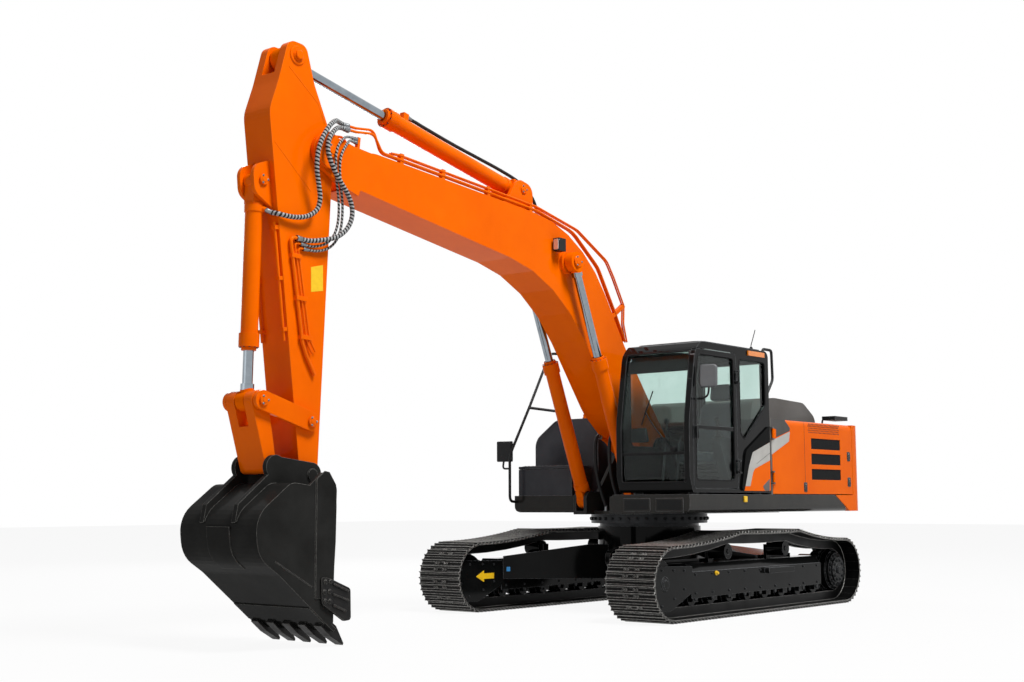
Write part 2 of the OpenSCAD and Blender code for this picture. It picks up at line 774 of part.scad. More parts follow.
// Fixed top, front walls and hinge posts of the engine bay
module engine_cover() {
    top = panel_top_z;
    wall_y = half_w - 95;
    color("#3f4042") {
        difference() {
            translate([0, 0, top - 45])
                linear_extrude(height = 45)
                    polygon([[cw_front_x, -wall_y], [pump_x + 30, -wall_y], [pump_x + 30, tank_y + 10],
                        [post_x, tank_y + 10], [post_x, wall_y], [cw_front_x, wall_y]]);
            block([hood_x0 + 60, hood_y0 + 60, top - 50], [hood_x1 - 60, hood_y1 - 60, top + 1]);
        }
        block([post_x - 40, 430, floor_z], [post_x, wall_y, top - 40]);
        block([pump_x - 10, -wall_y, floor_z], [pump_x + 30, tank_y + 10, top - 40]);
        for (m = [-1, 1])
            block([cw_front_x, m > 0 ? 480 : -1300, floor_z], [cw_front_x + 40, m > 0 ? 1300 : -480,
                top - 40]);
        block([side_x1 + seam, wall_y - 20, floor_z], [post_x, half_w, top]);
        block([pump_x + seam, -half_w, floor_z], [pump_x + 30, -wall_y + 20, top]);
        for (z = [1450, 1960]) {
            hinge_pin(side_x1 + 4, half_w + 20, z, [side_x1 + seam + 2, half_w - 5], [post_x, half_w + 32]);
            hinge_pin(pump_x + 4, -half_w - 20, z, [pump_x + seam + 2, -half_w - 32], [pump_x + 30,
                -half_w + 5]);
        }
        for (y = [hood_y0 + 160, hood_y1 - 270]) {
            ycyl(hood_x0 - 16, top + 24, hinge_pin_r, y - 15, y + hinge_h + 15);
            for (q = [y - 20, y + hinge_h + 2])
                block([hood_x0 - 34, q, top - 5], [hood_x0 - 2, q + 18, top + 38]);
        }
    }
}

// Engine, pumps and coolers as one plain mass on four feet
module engine() {
    color("#55575a") {
        block([cw_front_x + 240, -440, 1480], [-800, 1150, 2080]);
        for (x = [cw_front_x + 440, -1100], y = [-265, 265])
            translate([x, y, 1380])
                cylinder(r = 18, h = 110);
    }
}

hood_side = [[hood_x0 + 2, panel_top_z + seam, 0], [hood_x1 - 2, panel_top_z + seam, 0],
    [hood_x1 - 60, hood_top_z - 40, 90], [-1300, hood_top_z, 400], [hood_x0 + 330, hood_top_z - 25, 200],
    [hood_x0 + 40, hood_top_z - 190, 150]];

// Outline of the hood drawn in by t, its lower edge let down by d
function hood_line(t, d) = rounded([for (q = hood_side)
    [q.x + (q.x < -1500 ? t : -t), q.y - (q.y > panel_top_z + 50 ? t : d), q[2]]]);

module engine_hood() {
    color("#5c5e60") {
        difference() {
            across(hood_y0, hood_y1)
                polygon(hood_line(0, 0));
            across(hood_y0 + 25, hood_y1 - 25)
                polygon(hood_line(25, seam));
        }
        difference() {
            for (y = [hood_y0 + 160, hood_y1 - 270]) {
                ycyl(hood_x0 - 16, panel_top_z + 24, hinge_r, y, y + hinge_h);
                block([hood_x0 - 16, y, panel_top_z + 14], [hood_x0 + 20, y + hinge_h, panel_top_z + 36]);
            }
            ycyl(hood_x0 - 16, panel_top_z + 24, hinge_pin_r + run, hood_y0, hood_y1);
        }
    }
}

// Section of a side panel: upright wall that rolls over at the top
function side_section(m) = let (c = [[half_w, floor_z + seam, 0], [half_w, panel_top_z, 70],
    [half_w - 85, panel_top_z, 0], [half_w - 85, panel_top_z - panel_t, 0],
    [half_w - panel_t, panel_top_z - panel_t, 40], [half_w - panel_t, floor_z + seam, 0]])
    [for (q = rounded(c)) [m * q.x, q.y]];

module side_door(m, x0, x1) {
    translate([x0, 0, 0])
        rotate([90, 0, 90])
            linear_extrude(height = x1 - x0)
                polygon(side_section(m));
}

grille_x = [side_x0 + 314, side_x0 + 1088];
grille_z = [1490, 1675, 1860];

// Hinge leaves of a side door on side m whose hinge stands at x
module side_leaves(m, x) {
    y = m * (half_w + 20);
    for (z = [1450, 1960])
        knuckle(x + 4, y, z) {
            union() {
                translate([x + 4, y, z])
                    cylinder(r = hinge_r, h = hinge_h);
                block([x - 50, m > 0 ? half_w - 5 : -half_w - 28, z + 6],
                    [x + 4, m > 0 ? half_w + 28 : -half_w + 5, z + hinge_h - 6]);
            }
        }
}

module radiator_door() {
    color("#f26a10") {
        difference() {
            side_door(1, side_x0, side_x1);
            for (z = grille_z)
                block([grille_x[0], half_w - panel_t - 5, z], [grille_x[1], half_w + 5, z + 130]);
        }
        for (z = grille_z, i = [0:3])
            block([grille_x[0] - 5, half_w - 40, z + 12 + i * 32], [grille_x[1] + 5, half_w - 14,
                z + 22 + i * 32]);
        side_leaves(1, side_x1);
    }
}

module pump_door() {
    color("#f26a10") {
        side_door(-1, side_x0, pump_x);
        side_leaves(-1, pump_x);
    }
}

tank_x = [-1288, 330];

module fuel_tank() {
    color("#3a3b3d")
        translate([tank_x[0], 0, 0])
            rotate([90, 0, 90])
                linear_extrude(height = tank_x[1] - tank_x[0])
                    polygon(rounded([[-half_w, floor_z, 20], [tank_y, floor_z, 20], [tank_y, 2245, 40],
                        [-1130, 2245, 220], [-half_w, 2000, 180]]));
}

box_x = [338, 745];
box_y = [-1400, -590];

lid_hinge = [box_x[0] + 24, 1652];

module tool_box() {
    color("#333436") {
        difference() {
            block([box_x[0], box_y[0], floor_z], [box_x[1], box_y[1], 1625]);
            block([box_x[0] + 30, box_y[0] + 30, floor_z + 30], [box_x[1] - 30, box_y[1] - 30, 1630]);
        }
        for (y = [-1250, -850]) {
            ycyl(lid_hinge.x, lid_hinge.y, hinge_pin_r, y - 15, y + hinge_h + 15);
            for (q = [y - 20, y + hinge_h + 2])
                block([lid_hinge.x - 14, q, 1615], [lid_hinge.x + 6, q + 18, lid_hinge.y + 12]);
        }
    }
}

module tool_box_lid() {
    color("#3f4042") {
        block([box_x[0] + 50, box_y[0], 1633], [box_x[1], box_y[1], 1663]);
        difference() {
            for (y = [-1250, -850]) {
                ycyl(lid_hinge.x, lid_hinge.y, 14, y, y + hinge_h);
                block([lid_hinge.x, y, lid_hinge.y - 12], [box_x[0] + 60, y + hinge_h, lid_hinge.y + 8]);
            }
            ycyl(lid_hinge.x, lid_hinge.y, hinge_pin_r + run, box_y[0], box_y[1]);
        }
    }
}

rail_tube_r = 17;

tank_top = 2245;

module handrails() {
    color("#26282b") {
        tube(bent([[745, -1430, 1240], [880, -1430, 1240], [880, -1430, 1800], [610, -1340, 2390], [235,
            -1300, 3090],
            [60, -1250, 3090], [-250, -1040, 2950], [-250, -1040, tank_top]], 70), rail_tube_r);
        tube(bent([[610, -1340, 2390], [300, -1000, 2330], [300, -1000, tank_top]], 60), rail_tube_r);
        tube(bent([[cab_x0, 1340, 2880], [-420, 1340, 2880], [-430, 1340, 3010], [-640, 1340, 3010],
            [-655, 1340, 2660], [-450, 1340, 2410], [-450, 1340, panel_top_z]], 40), rail_tube_r);
    }
}

module mirrors() {
    color("#26282b") {
        tube(bent([[880, -1447.6, 1640], [880, -1540, 1640], [860, -1540, 1740]], 40), 12);
        translate([840, -1540, 1850])
            rotate([0, 0, 12])
                across(-95, 95)
                    polygon(rounded([[-30, -125, 20], [30, -125, 20], [30, 125, 20], [-30, 125, 20]]));
        translate([cw_front_x - 120, 1000, panel_top_z]) {
            tube(bent([[0, 0, 0], [0, 0, 100], [0, 110, 100]], 40), 12);
            block([-180, 90, 75], [180, 270, 125]);
        }
    }
}

module lamps() {
    color("#e8871a")
        block([cab_x0 + 110, half_w, cab_top_z - 130], [cab_x0 + 475, half_w + 18, cab_top_z - 74]);
}

// Valve block and hose elbows at the boom foot
module valve_block() {
    color("#2b2b2d") {
        block([-900, -215, deck_z + 40], [-250, 215, 1480]);
        for (y = [-150, -50, 50, 150])
            translate([-300, y, 1400])
                xcyl(28, 0, 180);
    }
}

// Boom seen from the side, foot pin at the origin, arm pin on +X
boom_line = [[-150, -140, 120], [-150, 150, 130], [1130, 745, 1500], [2455, boom_rise, 1700],
    [boom_len - 390, 300, 300], [boom_len - 250, -180, 120], [boom_len - 380, -125, 300], [2591, 796, 2000],
    [1000, -10, 700], [300, -150, 200]];

// Ear that carries the arm pin
boom_ear = [[boom_len - 500, 330, 0], [boom_len - 250, 240, 200], [boom_len + 170, 130, 150],
    [boom_len + 170, -170, 160], [boom_len - 250, -190, 100], [boom_len - 500, -150, 0]];

module boom() {
    color("#f26a10")
        placed(boom_foot, boom_angle) {
            difference() {
                union() {
                    across(-boom_hw, boom_hw)
                        polygon(rounded(boom_line));
                    both(boom_ear_y, boom_hw)
                        polygon(rounded(boom_ear));
                    both(boom_ear_y, boom_hw + 35)
                        translate([boom_len, 0]) circle(r = 165);
                    ycyl(0, 0, 150, -boom_hw, boom_hw);
                    ycyl(bc_pin.x, bc_pin.y, 125, -bc_boss_y, bc_boss_y);
                    both(115, 155)
                        polygon(rounded([concat(over_boom(1, 770, -110), 0), concat(over_boom(1, 1326,
                            -110), 0),
                            concat(over_boom(1, 1053, 342), 120), concat(over_boom(1, 798, 307), 120)]));
                }
                ycyl(0, 0, boom_pin_r + run, -boom_hw - 1, boom_hw + 1);
                across(-boom_ear_y, boom_ear_y)
                    translate([boom_len, 0]) circle(r = 430);
            }
            ycyl(boom_len, 0, arm_pin_r, -boom_hw - 50, boom_hw + 50);
            ycyl(ac_pin.x, ac_pin.y, cyl_pin_r, -160, 160);
        }
}

// Pipes along the upper edge of the boom: a low pair that rises to the hoses at the tip, and a high
// pair that stands off the bend
pipe_h = 34;
high_h = 76;
pipe_r = 13;
high_r = 10;
pipe_y = [226, 200];
// Low pipe whose end is d above the outer one's
function low_line(d) = rounded_path([[boom_len - 120, 337 + d, 0], [boom_len - 210, 380 + d, 60],
    [boom_len - 405, 505 + d, 80], concat(over_boom(1, 3175, pipe_h), 90), concat(over_boom(1, 800,
        pipe_h), 300),
    [2560, 1432, 400], [1990, 1330, 300], [1500, 1040, 200], concat(over_boom(0, 90, 45), 0)]);
high_line = rounded_path([concat(over_boom(1, 3050, pipe_h + 30), 0), concat(over_boom(1, 2950, high_h),
    80),
    concat(over_boom(1, 800, high_h), 300), [2500, 1500, 300], [1876, 1490, 200], [1680, 1389, 150],
        [1373, 1198, 60],
    [1290, 1000, 60], concat(over_boom(0, 60, 75), 0)]);
elbow_y = 100;

module boom_pipes() {
    color("#f26a10")
        placed(boom_foot, boom_angle) {
            for (m = [-1, 1]) {
                for (i = [0, 1]) {
                    tube([for (q = low_line(50 * i)) [q.x, m * pipe_y[i], q.y]], pipe_r, sides = 8);
                    tube([for (q = high_line) [q.x, m * pipe_y[i], q.y]], high_r, sides = 8);
                }
                for (q = [[1, 900, 0], [1, 1600, 0], [1, 2300, 0], [1, 2900, 0], [0, 440, 176]])
                    placed(boom_top[q.x], atan2(boom_dir[q.x].y, boom_dir[q.x].x))
                        block([q.y - 22, m > 0 ? 180 : -boom_hw, 0], [q.y + 22, m > 0 ? boom_hw : -180,
                            98 + q[2]]);
                tube(bent([[600, m * elbow_y, -91], [616, m * elbow_y, -170], [740, m * elbow_y, -185]],
                    50), 22);
            }
            placed([boom_ear[0].x, boom_ear[0].y], atan2(boom_ear[1].y - boom_ear[0].y,
                boom_ear[1].x - boom_ear[0].x))
                block([196, boom_ear_y + 5, 0], [226, boom_hw - 2, 106]);
            difference() {
                placed(boom_top[1], atan2(boom_dir[1].y, boom_dir[1].x))
                    block([485, -32, -60], [545, 32, 51]);
                across(-boom_hw, boom_hw)
                    polygon(rounded(boom_line));
            }
        }
}

// Work lamp on the left side of the boom
module boom_lamp() {
    color("#26282b")
        placed(boom_foot, boom_angle)
            translate([bc_pin.x + 255, boom_hw, bc_pin.y + 60]) {
                block([-20, 0, -20], [20, 25, 20]);
                rotate([0, boom_angle, 0])
                    block([-60, 25, -70], [60, 110, 70]);
            }
}

// Hoses from the deck to the elbows under the boom foot
foot_route = [[828, 1975], [870, 1989], [912, 1968], [937, 1900], [942, 1810], [940, 1720], [930, 1630],
    [910, 1540],
    [880, 1450], [840, 1360], [795, 1275], [755, 1205], [740, 1165], [740, 1130.4]];

module foot_hose_left() {
    color("#1c1d1e") tube([for (q = foot_route) [q.x, elbow_y, q.y]], 20);
}

module foot_hose_right() {
    color("#1c1d1e") tube([for (q = foot_route) [q.x, -elbow_y, q.y]], 20);
}

// Barrel of a cylinder along +X: the eye at its foot, and the neck between eye and tube
module barrel(r, l, eye_r, eye_hw, pin_r, neck = 0) {
    difference() {
        union() {
            ycyl(0, 0, eye_r, -eye_hw, eye_hw);
            xcyl(r, eye_r + neck, l);
            block([0, -eye_hw, -eye_r * 0.8], [eye_r + neck + 10, eye_hw, eye_r * 0.8]);
            xcyl(r + 14, l - 120, l);
            xcyl(r + 8, eye_r + neck + 20, eye_r + neck + 80);
        }
        ycyl(0, 0, pin_r + run, -eye_hw - 1, eye_hw + 1);
        xcyl(rod_r + 0.5, eye_r + neck + 100, l + 1);
    }
}

// Chromed rod along -X from its eye
module rod(l, eye_r, eye_hw, stub) {
    ycyl(0, 0, eye_r, -eye_hw, eye_hw);
    ycyl(0, 0, eye_r * 0.45, -stub, stub);
    xcyl(rod_r, -l, -eye_r * 0.6);
    xcyl(rod_r + 14, -eye_r - 60, -eye_r * 0.6);
}

// Pin lengths at rest, barrel lengths, and where the rods end inside
bc_l = norm(bc_head - bc_foot);
bc_barrel_l = 1680;
bc_rod_x = 1180;
ac_l = norm(ac_head - ac_base);
ac_barrel_l = 2010;
ac_rod_x = 1310;
kc_l = norm(link_head - kc_base);
kc_barrel_l = arm_len / 2 + 5;
kc_rod_x = 570;

module boom_barrels() {
    color("#f26a10")
        for (m = [-1, 1])
            translate([0, m * bc_y, 0])
                line_up(bc_foot, bc_head)
                    barrel(boom_cyl_r, bc_barrel_l, 98, bc_eye_hw, cyl_pin_r, 20);
}

module boom_rods() {
    color("#c9cbcd")
        for (m = [-1, 1])
            translate([0, m * bc_y, 0])
                line_up(bc_foot, bc_head)
                    translate([bc_l, 0, 0])
                        rod(bc_l - bc_rod_x, 105, bc_eye_hw, bc_eye_hw + 12);
}

module arm_barrel() {
    color("#f26a10")
        line_up(ac_base, ac_head)
            {
                barrel(arm_cyl_r, ac_barrel_l, 105, 105, cyl_pin_r);
                block([port_x, -30, arm_cyl_r - 20], [port_x + 70, 30, 150]);
            }
}

module arm_rod() {
    color("#c9cbcd")
        line_up(ac_base, ac_head)
            translate([ac_l, 0, 0])
                rod(ac_l - ac_rod_x, 110, 72, 76);
}

// Hose from the port at the head of the arm cylinder, along its barrel, to the boom
port_x = 1720;
cylinder_route = [[1719, 125], [1660, 125], [1580, 127], [1500, 125], [1400, 125], [1300, 125], [1200, 125],
    [1080, 126], [960, 128], [840, 132], [720, 136], [600, 140], [480, 144], [360, 148], [240, 150],
        [120, 150],
    [0, 146], [-110, 134], [-220, 108], [-315, 66], [-390, 8], [-437, -55], [-456, -111], [-459, -135]];

module cylinder_hose() {
    color("#1c1d1e")
        line_up(ac_base, ac_head)
            tube([for (q = cylinder_route) [q.x, 0, q.y]], 18);
}

// Arm seen from the side, boom pin at the origin, bucket pin on +X
arm_line = [[-930, 285, 90], [-930, 500, 100], [-525, 590, 300], [-230, arm_depth, 250], [arm_len - 60,
    105, 200],
    [arm_len + 118, 80, 100], [arm_len + 118, -112, 100], [260, -108, 400], [20, -185, 150], [-190, -60,
        150],
    [-600, 165, 300]];

module arm() {
    color("#f26a10")
        placed(arm_pin, arm_angle) {
            difference() {
                union() {
                    across(-arm_hw, arm_hw)
                        polygon(rounded(arm_line));
                    both(72, 112)
                        polygon(rounded([[180, 520, 0], [680, 430, 0], [520, 735, 110], [290, 770, 110]]));
                }
                ycyl(0, 0, arm_pin_r + run, -arm_hw - 1, arm_hw + 1);
                ycyl(arm_len, 0, arm_pin_r + run, -arm_hw - 1, arm_hw + 1);
                ycyl(arm_len - 471, 24, link_pin_r + run, -arm_hw - 1, arm_hw + 1);
                across(-85, 85)
                    polygon(rounded([[-1000, 200, 0], [-1000, 700, 0], [-650, 700, 0], [-600, 500, 100],
                        [-660, 200, 0]]));
            }
            ycyl(397, 645, link_pin_r, -125, 125);
        }
}

// Pipes on the front face of the arm beside the bucket cylinder
arm_face = [[-230, arm_depth], [arm_len - 60, 105]];
arm_face_angle = atan2(arm_face[1].y - arm_face[0].y, arm_face[1].x - arm_face[0].x);

module arm_pipes() {
    side_y = arm_hw + 22;
    color("#f26a10")
        placed(arm_pin, arm_angle) {
            placed(arm_face[0], arm_face_angle)
                for (m = [-1, 1]) {
                    tube([[1000, m * 145, 26], [1500, m * 145, 26], [2050, m * 145, 26]], 13);
                    for (x = [1050, 1500, 1950])
                        block([x - 18, m * 145 - 24, 0], [x + 18, m * 145 + 24, 44]);
                }
            tube([for (q = rounded_path([[868, 300, 0], [868, 372, 40], [1790, 165, 200], [1900, 110,
                100], [2060, 0, 0]]))
                [q.x, side_y, q.y]], 17);
            tube([for (q = rounded_path([[912, 250, 0], [912, 318, 30], [1770, 115, 200], [1870, 45, 0]]))
                [q.x, side_y, q.y]], 9);
            tube([for (q = rounded_path([[950, 215, 0], [950, 276, 30], [1750, 82, 200], [1850, 5, 0]]))
                [q.x, side_y, q.y]], 9);
            for (q = [[1030, 240, 355], [1400, 150, 275], [1740, 65, 200]])
                block([q.x - 20, arm_hw, q.y], [q.x + 20, side_y + 22, q[2]]);
        }
}

// Hoses from the boom to the arm
hose_1 = [[5211, 200, 4719], [5270, 200, 4719], [5350, 224, 4722], [5450, 280, 4706], [5570, 330, 4625],
    [5665, 338, 4490], [5708, 330, 4350], [5702, 314, 4200], [5660, 296, 4060], [5632, 282, 3950], [5650,
        264, 3850],
    [5735, 246, 3782], [5850, 232, 3752], [5960, 220, 3748], [6040, 200, 3757], [6078, 140, 3773], [6101,
        98, 3794]];
hose_2 = [[5233, 226, 4674], [5291, 226, 4674], [5370, 246, 4664], [5460, 290, 4622], [5545, 316, 4540],
    [5582, 324, 4440], [5566, 326, 4340], [5500, 324, 4230], [5410, 318, 4130], [5320, 312, 4040], [5262,
        308, 3935],
    [5258, 304, 3825], [5314, 298, 3716], [5420, 286, 3632], [5550, 258, 3588], [5680, 216, 3566], [5770,
        198, 3568],
    [5830, 197, 3571]];
hose_3 = [[5110, 209, 4609], [5168, 209, 4615], [5235, 228, 4606], [5300, 256, 4585], [5365, 286, 4545],
    [5425, 302, 4485], [5458, 304, 4400], [5458, 298, 4310], [5438, 284, 4190], [5405, 268, 4070], [5378,
        258, 3950],
    [5374, 252, 3830], [5392, 248, 3720], [5436, 242, 3630], [5512, 230, 3560], [5620, 208, 3524], [5720,
        198, 3521],
    [5783, 197, 3524]];
hose_4 = [[5113, 209, 4578], [5171, 209, 4584], [5226, 236, 4570], [5278, 266, 4538], [5330, 290, 4490],
    [5378, 300, 4425], [5402, 300, 4350], [5402, 292, 4270], [5380, 278, 4165], [5350, 264, 4050], [5328,
        255, 3930],
    [5326, 249, 3820], [5342, 245, 3710], [5388, 238, 3606], [5468, 226, 3528], [5580, 206, 3488], [5690,
        198, 3481],
    [5750, 197, 3484]];

module arm_hose_1() {
    color("#1c1d1e") tube(hose_1, 22);
}

module arm_hose_2() {
    color("#1c1d1e") tube(hose_2, 22);
}

module arm_hose_3() {
    color("#1c1d1e") tube(hose_3, 12);
}

module arm_hose_4() {
    color("#1c1d1e") tube(hose_4, 12);
}

// Port of the bucket cylinder: a point on its axis, and the way out to the hose
kc_port = [6156, 0, 3843];
kc_port_dir = unit([-0.45, 0.8, -0.4]);

module bucket_barrel() {
    color("#f26a10")
        {
            line_up(kc_base, link_head)
                barrel(bucket_cyl_r, kc_barrel_l, 76, 62, link_pin_r, 125);
            translate(kc_port)
                rotate([0, 0, atan2(kc_port_dir.y, kc_port_dir.x)])
                    rotate([0, acos(kc_port_dir.z), 0])
                        translate([0, 0, 66])
                            cylinder(r = 24, h = 54);
        }
}

module bucket_rod() {
    color("#c9cbcd")
        line_up(kc_base, link_head)
            translate([kc_l, 0, 0])
                rod(kc_l - kc_rod_x, 88, 54, 57);
}

link_y0 = arm_hw + gap;
link_y1 = link_y0 + 40;

// Side links from the arm to the link head
module side_links() {
    color("#f26a10")
        line_up(link_base, link_head) {
            both(link_y0, link_y1)
                polygon(strap(583, 85, 85));
            ycyl(0, 0, link_pin_r, -link_y1 - 12, link_y1 + 12);
            for (m = [-1, 1])
                ycyl(583, 0, link_pin_r, m > 0 ? 70 : -link_y1 - 12, m > 0 ? link_y1 + 12 : -70);
        }
}

// Link between the side links and the bucket, forked round the rod's eye
module bucket_link() {
    l = norm(link_foot - link_head);
    color("#f26a10")
        line_up(link_head, link_foot)
            difference() {
                across(-arm_hw + 3, arm_hw - 3)
                    polygon(strap(l, 90, 58));
                block([-100, -64, -100], [210, 64, 100]);
                ycyl(0, 0, link_pin_r + run, -arm_hw, arm_hw);
            }
}

// Bucket seen from the side, bucket pin at the origin, tooth tip on +X
lip = [tip_r - 180, 178];
side_t = 25;
shell_t = 28;
bucket_hw = bucket_w / 2;
shell_path = rounded_path([[lip.x, lip.y, 0], [760, 700, 250], [590, 905, 260], [250, 905, 260], [10,
    480, 150],
    [60, 280, 0]]);
// Along the floor towards the tip, and square to it into the bucket
floor_f = unit([lip.x - 760, lip.y - 700]);
floor_n = [floor_f.y, -floor_f.x];
function at_lip(q) = lip + q.x * floor_f + q.y * floor_n;
lip_out = 57;
lip_t = 35;

module bucket() {
    color("#303133")
        placed(bucket_pin, bucket_angle) {
            across(-bucket_hw + side_t, bucket_hw - side_t)
                polygon(band(shell_path, shell_t));
            both(bucket_hw - side_t, bucket_hw)
                polygon(concat(shell_path, rounded_path([[60, 280, 0], [-60, 90, 80], [110, -35, 90],
                    [880, 85, 500],
                    at_lip([0, 60])])));
            across(-bucket_hw, bucket_hw)
                polygon([for (q = [[-90, 0], [lip_out, 0], [lip_out, lip_t], [-90, lip_t]]) at_lip(q)]);
            both(link_y0, link_y1 + 10)
                difference() {
                    union() {
                        circle(r = 110);
                        translate([-114, 409]) circle(r = 105);
                        polygon([[-106, -28], [36, -102], [112, 20], [130, 270], [60, 500], [300, 900],
                            [150, 850],
                            [-60, 500], [-215, 430]]);
                    }
                    polygon(offset_path(shell_path, shell_t));
                }
            ycyl(0, 0, arm_pin_r, -link_y1 - 25, link_y1 + 25);
        }
}

module bucket_teeth() {
    color("#3a3b3d")
        placed(bucket_pin, bucket_angle)
            for (i = [0:tooth_count - 1]) {
                y = -bucket_hw + 90 + (bucket_w - 180) * i / (tooth_count - 1);
                across(y - 46, y + 46)
                    polygon([for (q = [[-60, 0], [-60, -30], [85, -32], [253, -4], [250, 14], [85,
                        lip_t + 42],
                        [-45, lip_t + 36], [-45, lip_t], [lip_out, lip_t], [lip_out, 0]]) at_lip(q)]);
            }
    color("#3a3b3d")
        placed(bucket_pin, bucket_angle)
            both(bucket_hw, bucket_hw + 26)
                polygon(rounded([[850, 255, 25], [870, 165, 25], [1000, -75, 40], [1270, -50, 30], [1265,
                    30, 20],
                    [1075, 270, 30]]));
}

center_frame();
track_frame_left();
track_frame_right();
track_left();
track_right();
rollers();
idlers();
sprockets();
race_inner();
race_outer();
main_frame();
counterweight();
cab_shell();
cab_roof();
cab_glass();
cab_door();
cab_door_glass();
seat();
consoles();
corner_panel();
engine_cover();
engine();
engine_hood();
radiator_door();
pump_door();
fuel_tank();
tool_box();
tool_box_lid();
handrails();
mirrors();
lamps();
valve_block();
boom();
boom_pipes();
boom_lamp();
foot_hose_left();
foot_hose_right();
boom_barrels();
boom_rods();
arm_barrel();
arm_rod();
cylinder_hose();
arm();
arm_pipes();
arm_hose_1();
arm_hose_2();
arm_hose_3();
arm_hose_4();
bucket_barrel();
bucket_rod();
side_links();
bucket_link();
bucket();
bucket_teeth();
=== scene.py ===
import math
import bmesh
import bpy
import numpy as np
from mathutils import Matrix, Vector


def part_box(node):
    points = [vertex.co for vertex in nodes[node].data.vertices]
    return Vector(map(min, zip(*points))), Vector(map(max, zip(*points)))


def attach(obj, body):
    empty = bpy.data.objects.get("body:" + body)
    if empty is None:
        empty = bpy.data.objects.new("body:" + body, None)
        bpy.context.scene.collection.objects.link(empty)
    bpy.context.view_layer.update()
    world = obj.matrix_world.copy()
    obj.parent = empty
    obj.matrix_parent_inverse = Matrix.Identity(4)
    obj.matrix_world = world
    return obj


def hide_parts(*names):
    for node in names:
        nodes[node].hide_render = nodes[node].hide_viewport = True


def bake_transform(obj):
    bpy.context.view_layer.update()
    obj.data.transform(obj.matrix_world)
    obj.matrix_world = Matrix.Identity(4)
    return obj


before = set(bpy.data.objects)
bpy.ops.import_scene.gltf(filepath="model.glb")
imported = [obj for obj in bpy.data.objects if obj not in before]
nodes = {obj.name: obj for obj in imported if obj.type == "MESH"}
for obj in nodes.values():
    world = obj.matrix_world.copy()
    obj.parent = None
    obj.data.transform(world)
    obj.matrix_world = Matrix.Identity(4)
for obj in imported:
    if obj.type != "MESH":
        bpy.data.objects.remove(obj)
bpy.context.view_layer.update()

# Studio: a pale matt floor in a soft white room, and the camera where the photograph was taken.
# Its lens is 49.5 mm on a sensor 36 mm wide; it stands low, ahead of the machine on its left, and tilts up.


def linear(code):
    """sRGB hex text to linear light: a channel c becomes ((c + 0.055) / 1.055) ** 2.4, or c / 12.92
    when it is dark."""
    c = np.array([int(code[i:i + 2], 16) / 255 for i in (1, 3, 5)])
    c = np.where(c <= 0.04045, c / 12.92, ((c + 0.055) / 1.055) ** 2.4)
    return (*[float(x) for x in c], 1.0)


def add(tree, kind, links=None, values=None, **settings):
    """Adds one node: settings are its properties or its inputs by name, values its inputs by number."""
    n = tree.nodes.new(kind)
    for key, value in settings.items():
        if hasattr(n, key):
            setattr(n, key, value)
        else:
            n.inputs[key.replace("_", " ")].default_value = value
    for key, value in (values or {}).items():
        n.inputs[key].default_value = value
    for key, out in (links or {}).items():
        tree.links.new(out, n.inputs[key])
    return n


def material(name, color, roughness, metallic=0.0, **sockets):
    """A new Principled material with its constant values on the shader's own sockets."""
    m = bpy.data.materials.new(name)
    m.use_nodes = True
    b = m.node_tree.nodes["Principled BSDF"]
    b.inputs["Base Color"].default_value = linear(color)
    b.inputs["Roughness"].default_value = roughness
    b.inputs["Metallic"].default_value = metallic
    for key, value in sockets.items():
        b.inputs[key.replace("_", " ")].default_value = value
    return m, m.node_tree, b


def seen_rays(tree):
    """The rays that show something to the eye, straight, mirrored or through glass: camera + glossy +
    transmission, at most 1."""
    path = add(tree, "ShaderNodeLightPath").outputs
    seen = add(tree, "ShaderNodeMath", {0: path["Is Camera Ray"], 1: path["Is Glossy Ray"]}, operation="ADD")
    seen = add(tree, "ShaderNodeMath", {0: seen.outputs[0], 1: path["Is Transmission Ray"]}, operation="ADD",
               use_clamp=True)
    return seen.outputs[0]


scene = bpy.context.scene
scene.view_settings.view_transform = "Standard"

eye = (14.162, 9.4986, 1.2268)
yaw, pitch, roll = 3.8282, 0.1143, -0.0037
focal_pixels, photo_pixels = 1409.2, 1024
ahead = Vector((math.cos(yaw) * math.cos(pitch), math.sin(yaw) * math.cos(pitch), math.sin(pitch)))
right = Vector((math.sin(yaw), -math.cos(yaw), 0.0))
above = right.cross(ahead)
side = right * math.cos(roll) + above * math.sin(roll)
above = above * math.cos(roll) - right * math.sin(roll)
cam = bpy.data.cameras.new("camera")
cam.sensor_width = 36
cam.lens = focal_pixels / photo_pixels * cam.sensor_width
cam.clip_end = 200
camera = bpy.data.objects.new("camera", cam)
turn = Matrix((side, above, -ahead)).transposed().to_4x4()
camera.matrix_world = Matrix.Translation(eye) @ turn
scene.collection.objects.link(camera)
scene.camera = camera

world = bpy.data.worlds.new("white_room")
world.use_nodes = True
scene.world = world
t = world.node_tree
power = add(t, "ShaderNodeMapRange", {"Value": seen_rays(t)}, To_Min=0.15, To_Max=1.0)
t.nodes["Background"].inputs["Color"].default_value = (1, 1, 1, 1)
t.links.new(power.outputs[0], t.nodes["Background"].inputs["Strength"])

floor = bpy.data.objects.new("floor", bpy.data.meshes.new("floor"))
floor.data.from_pydata([(-60, -60, 0), (60, -60, 0), (60, 60, 0), (-60, 60, 0)], [], [(0, 1, 2, 3)])
scene.collection.objects.link(floor)
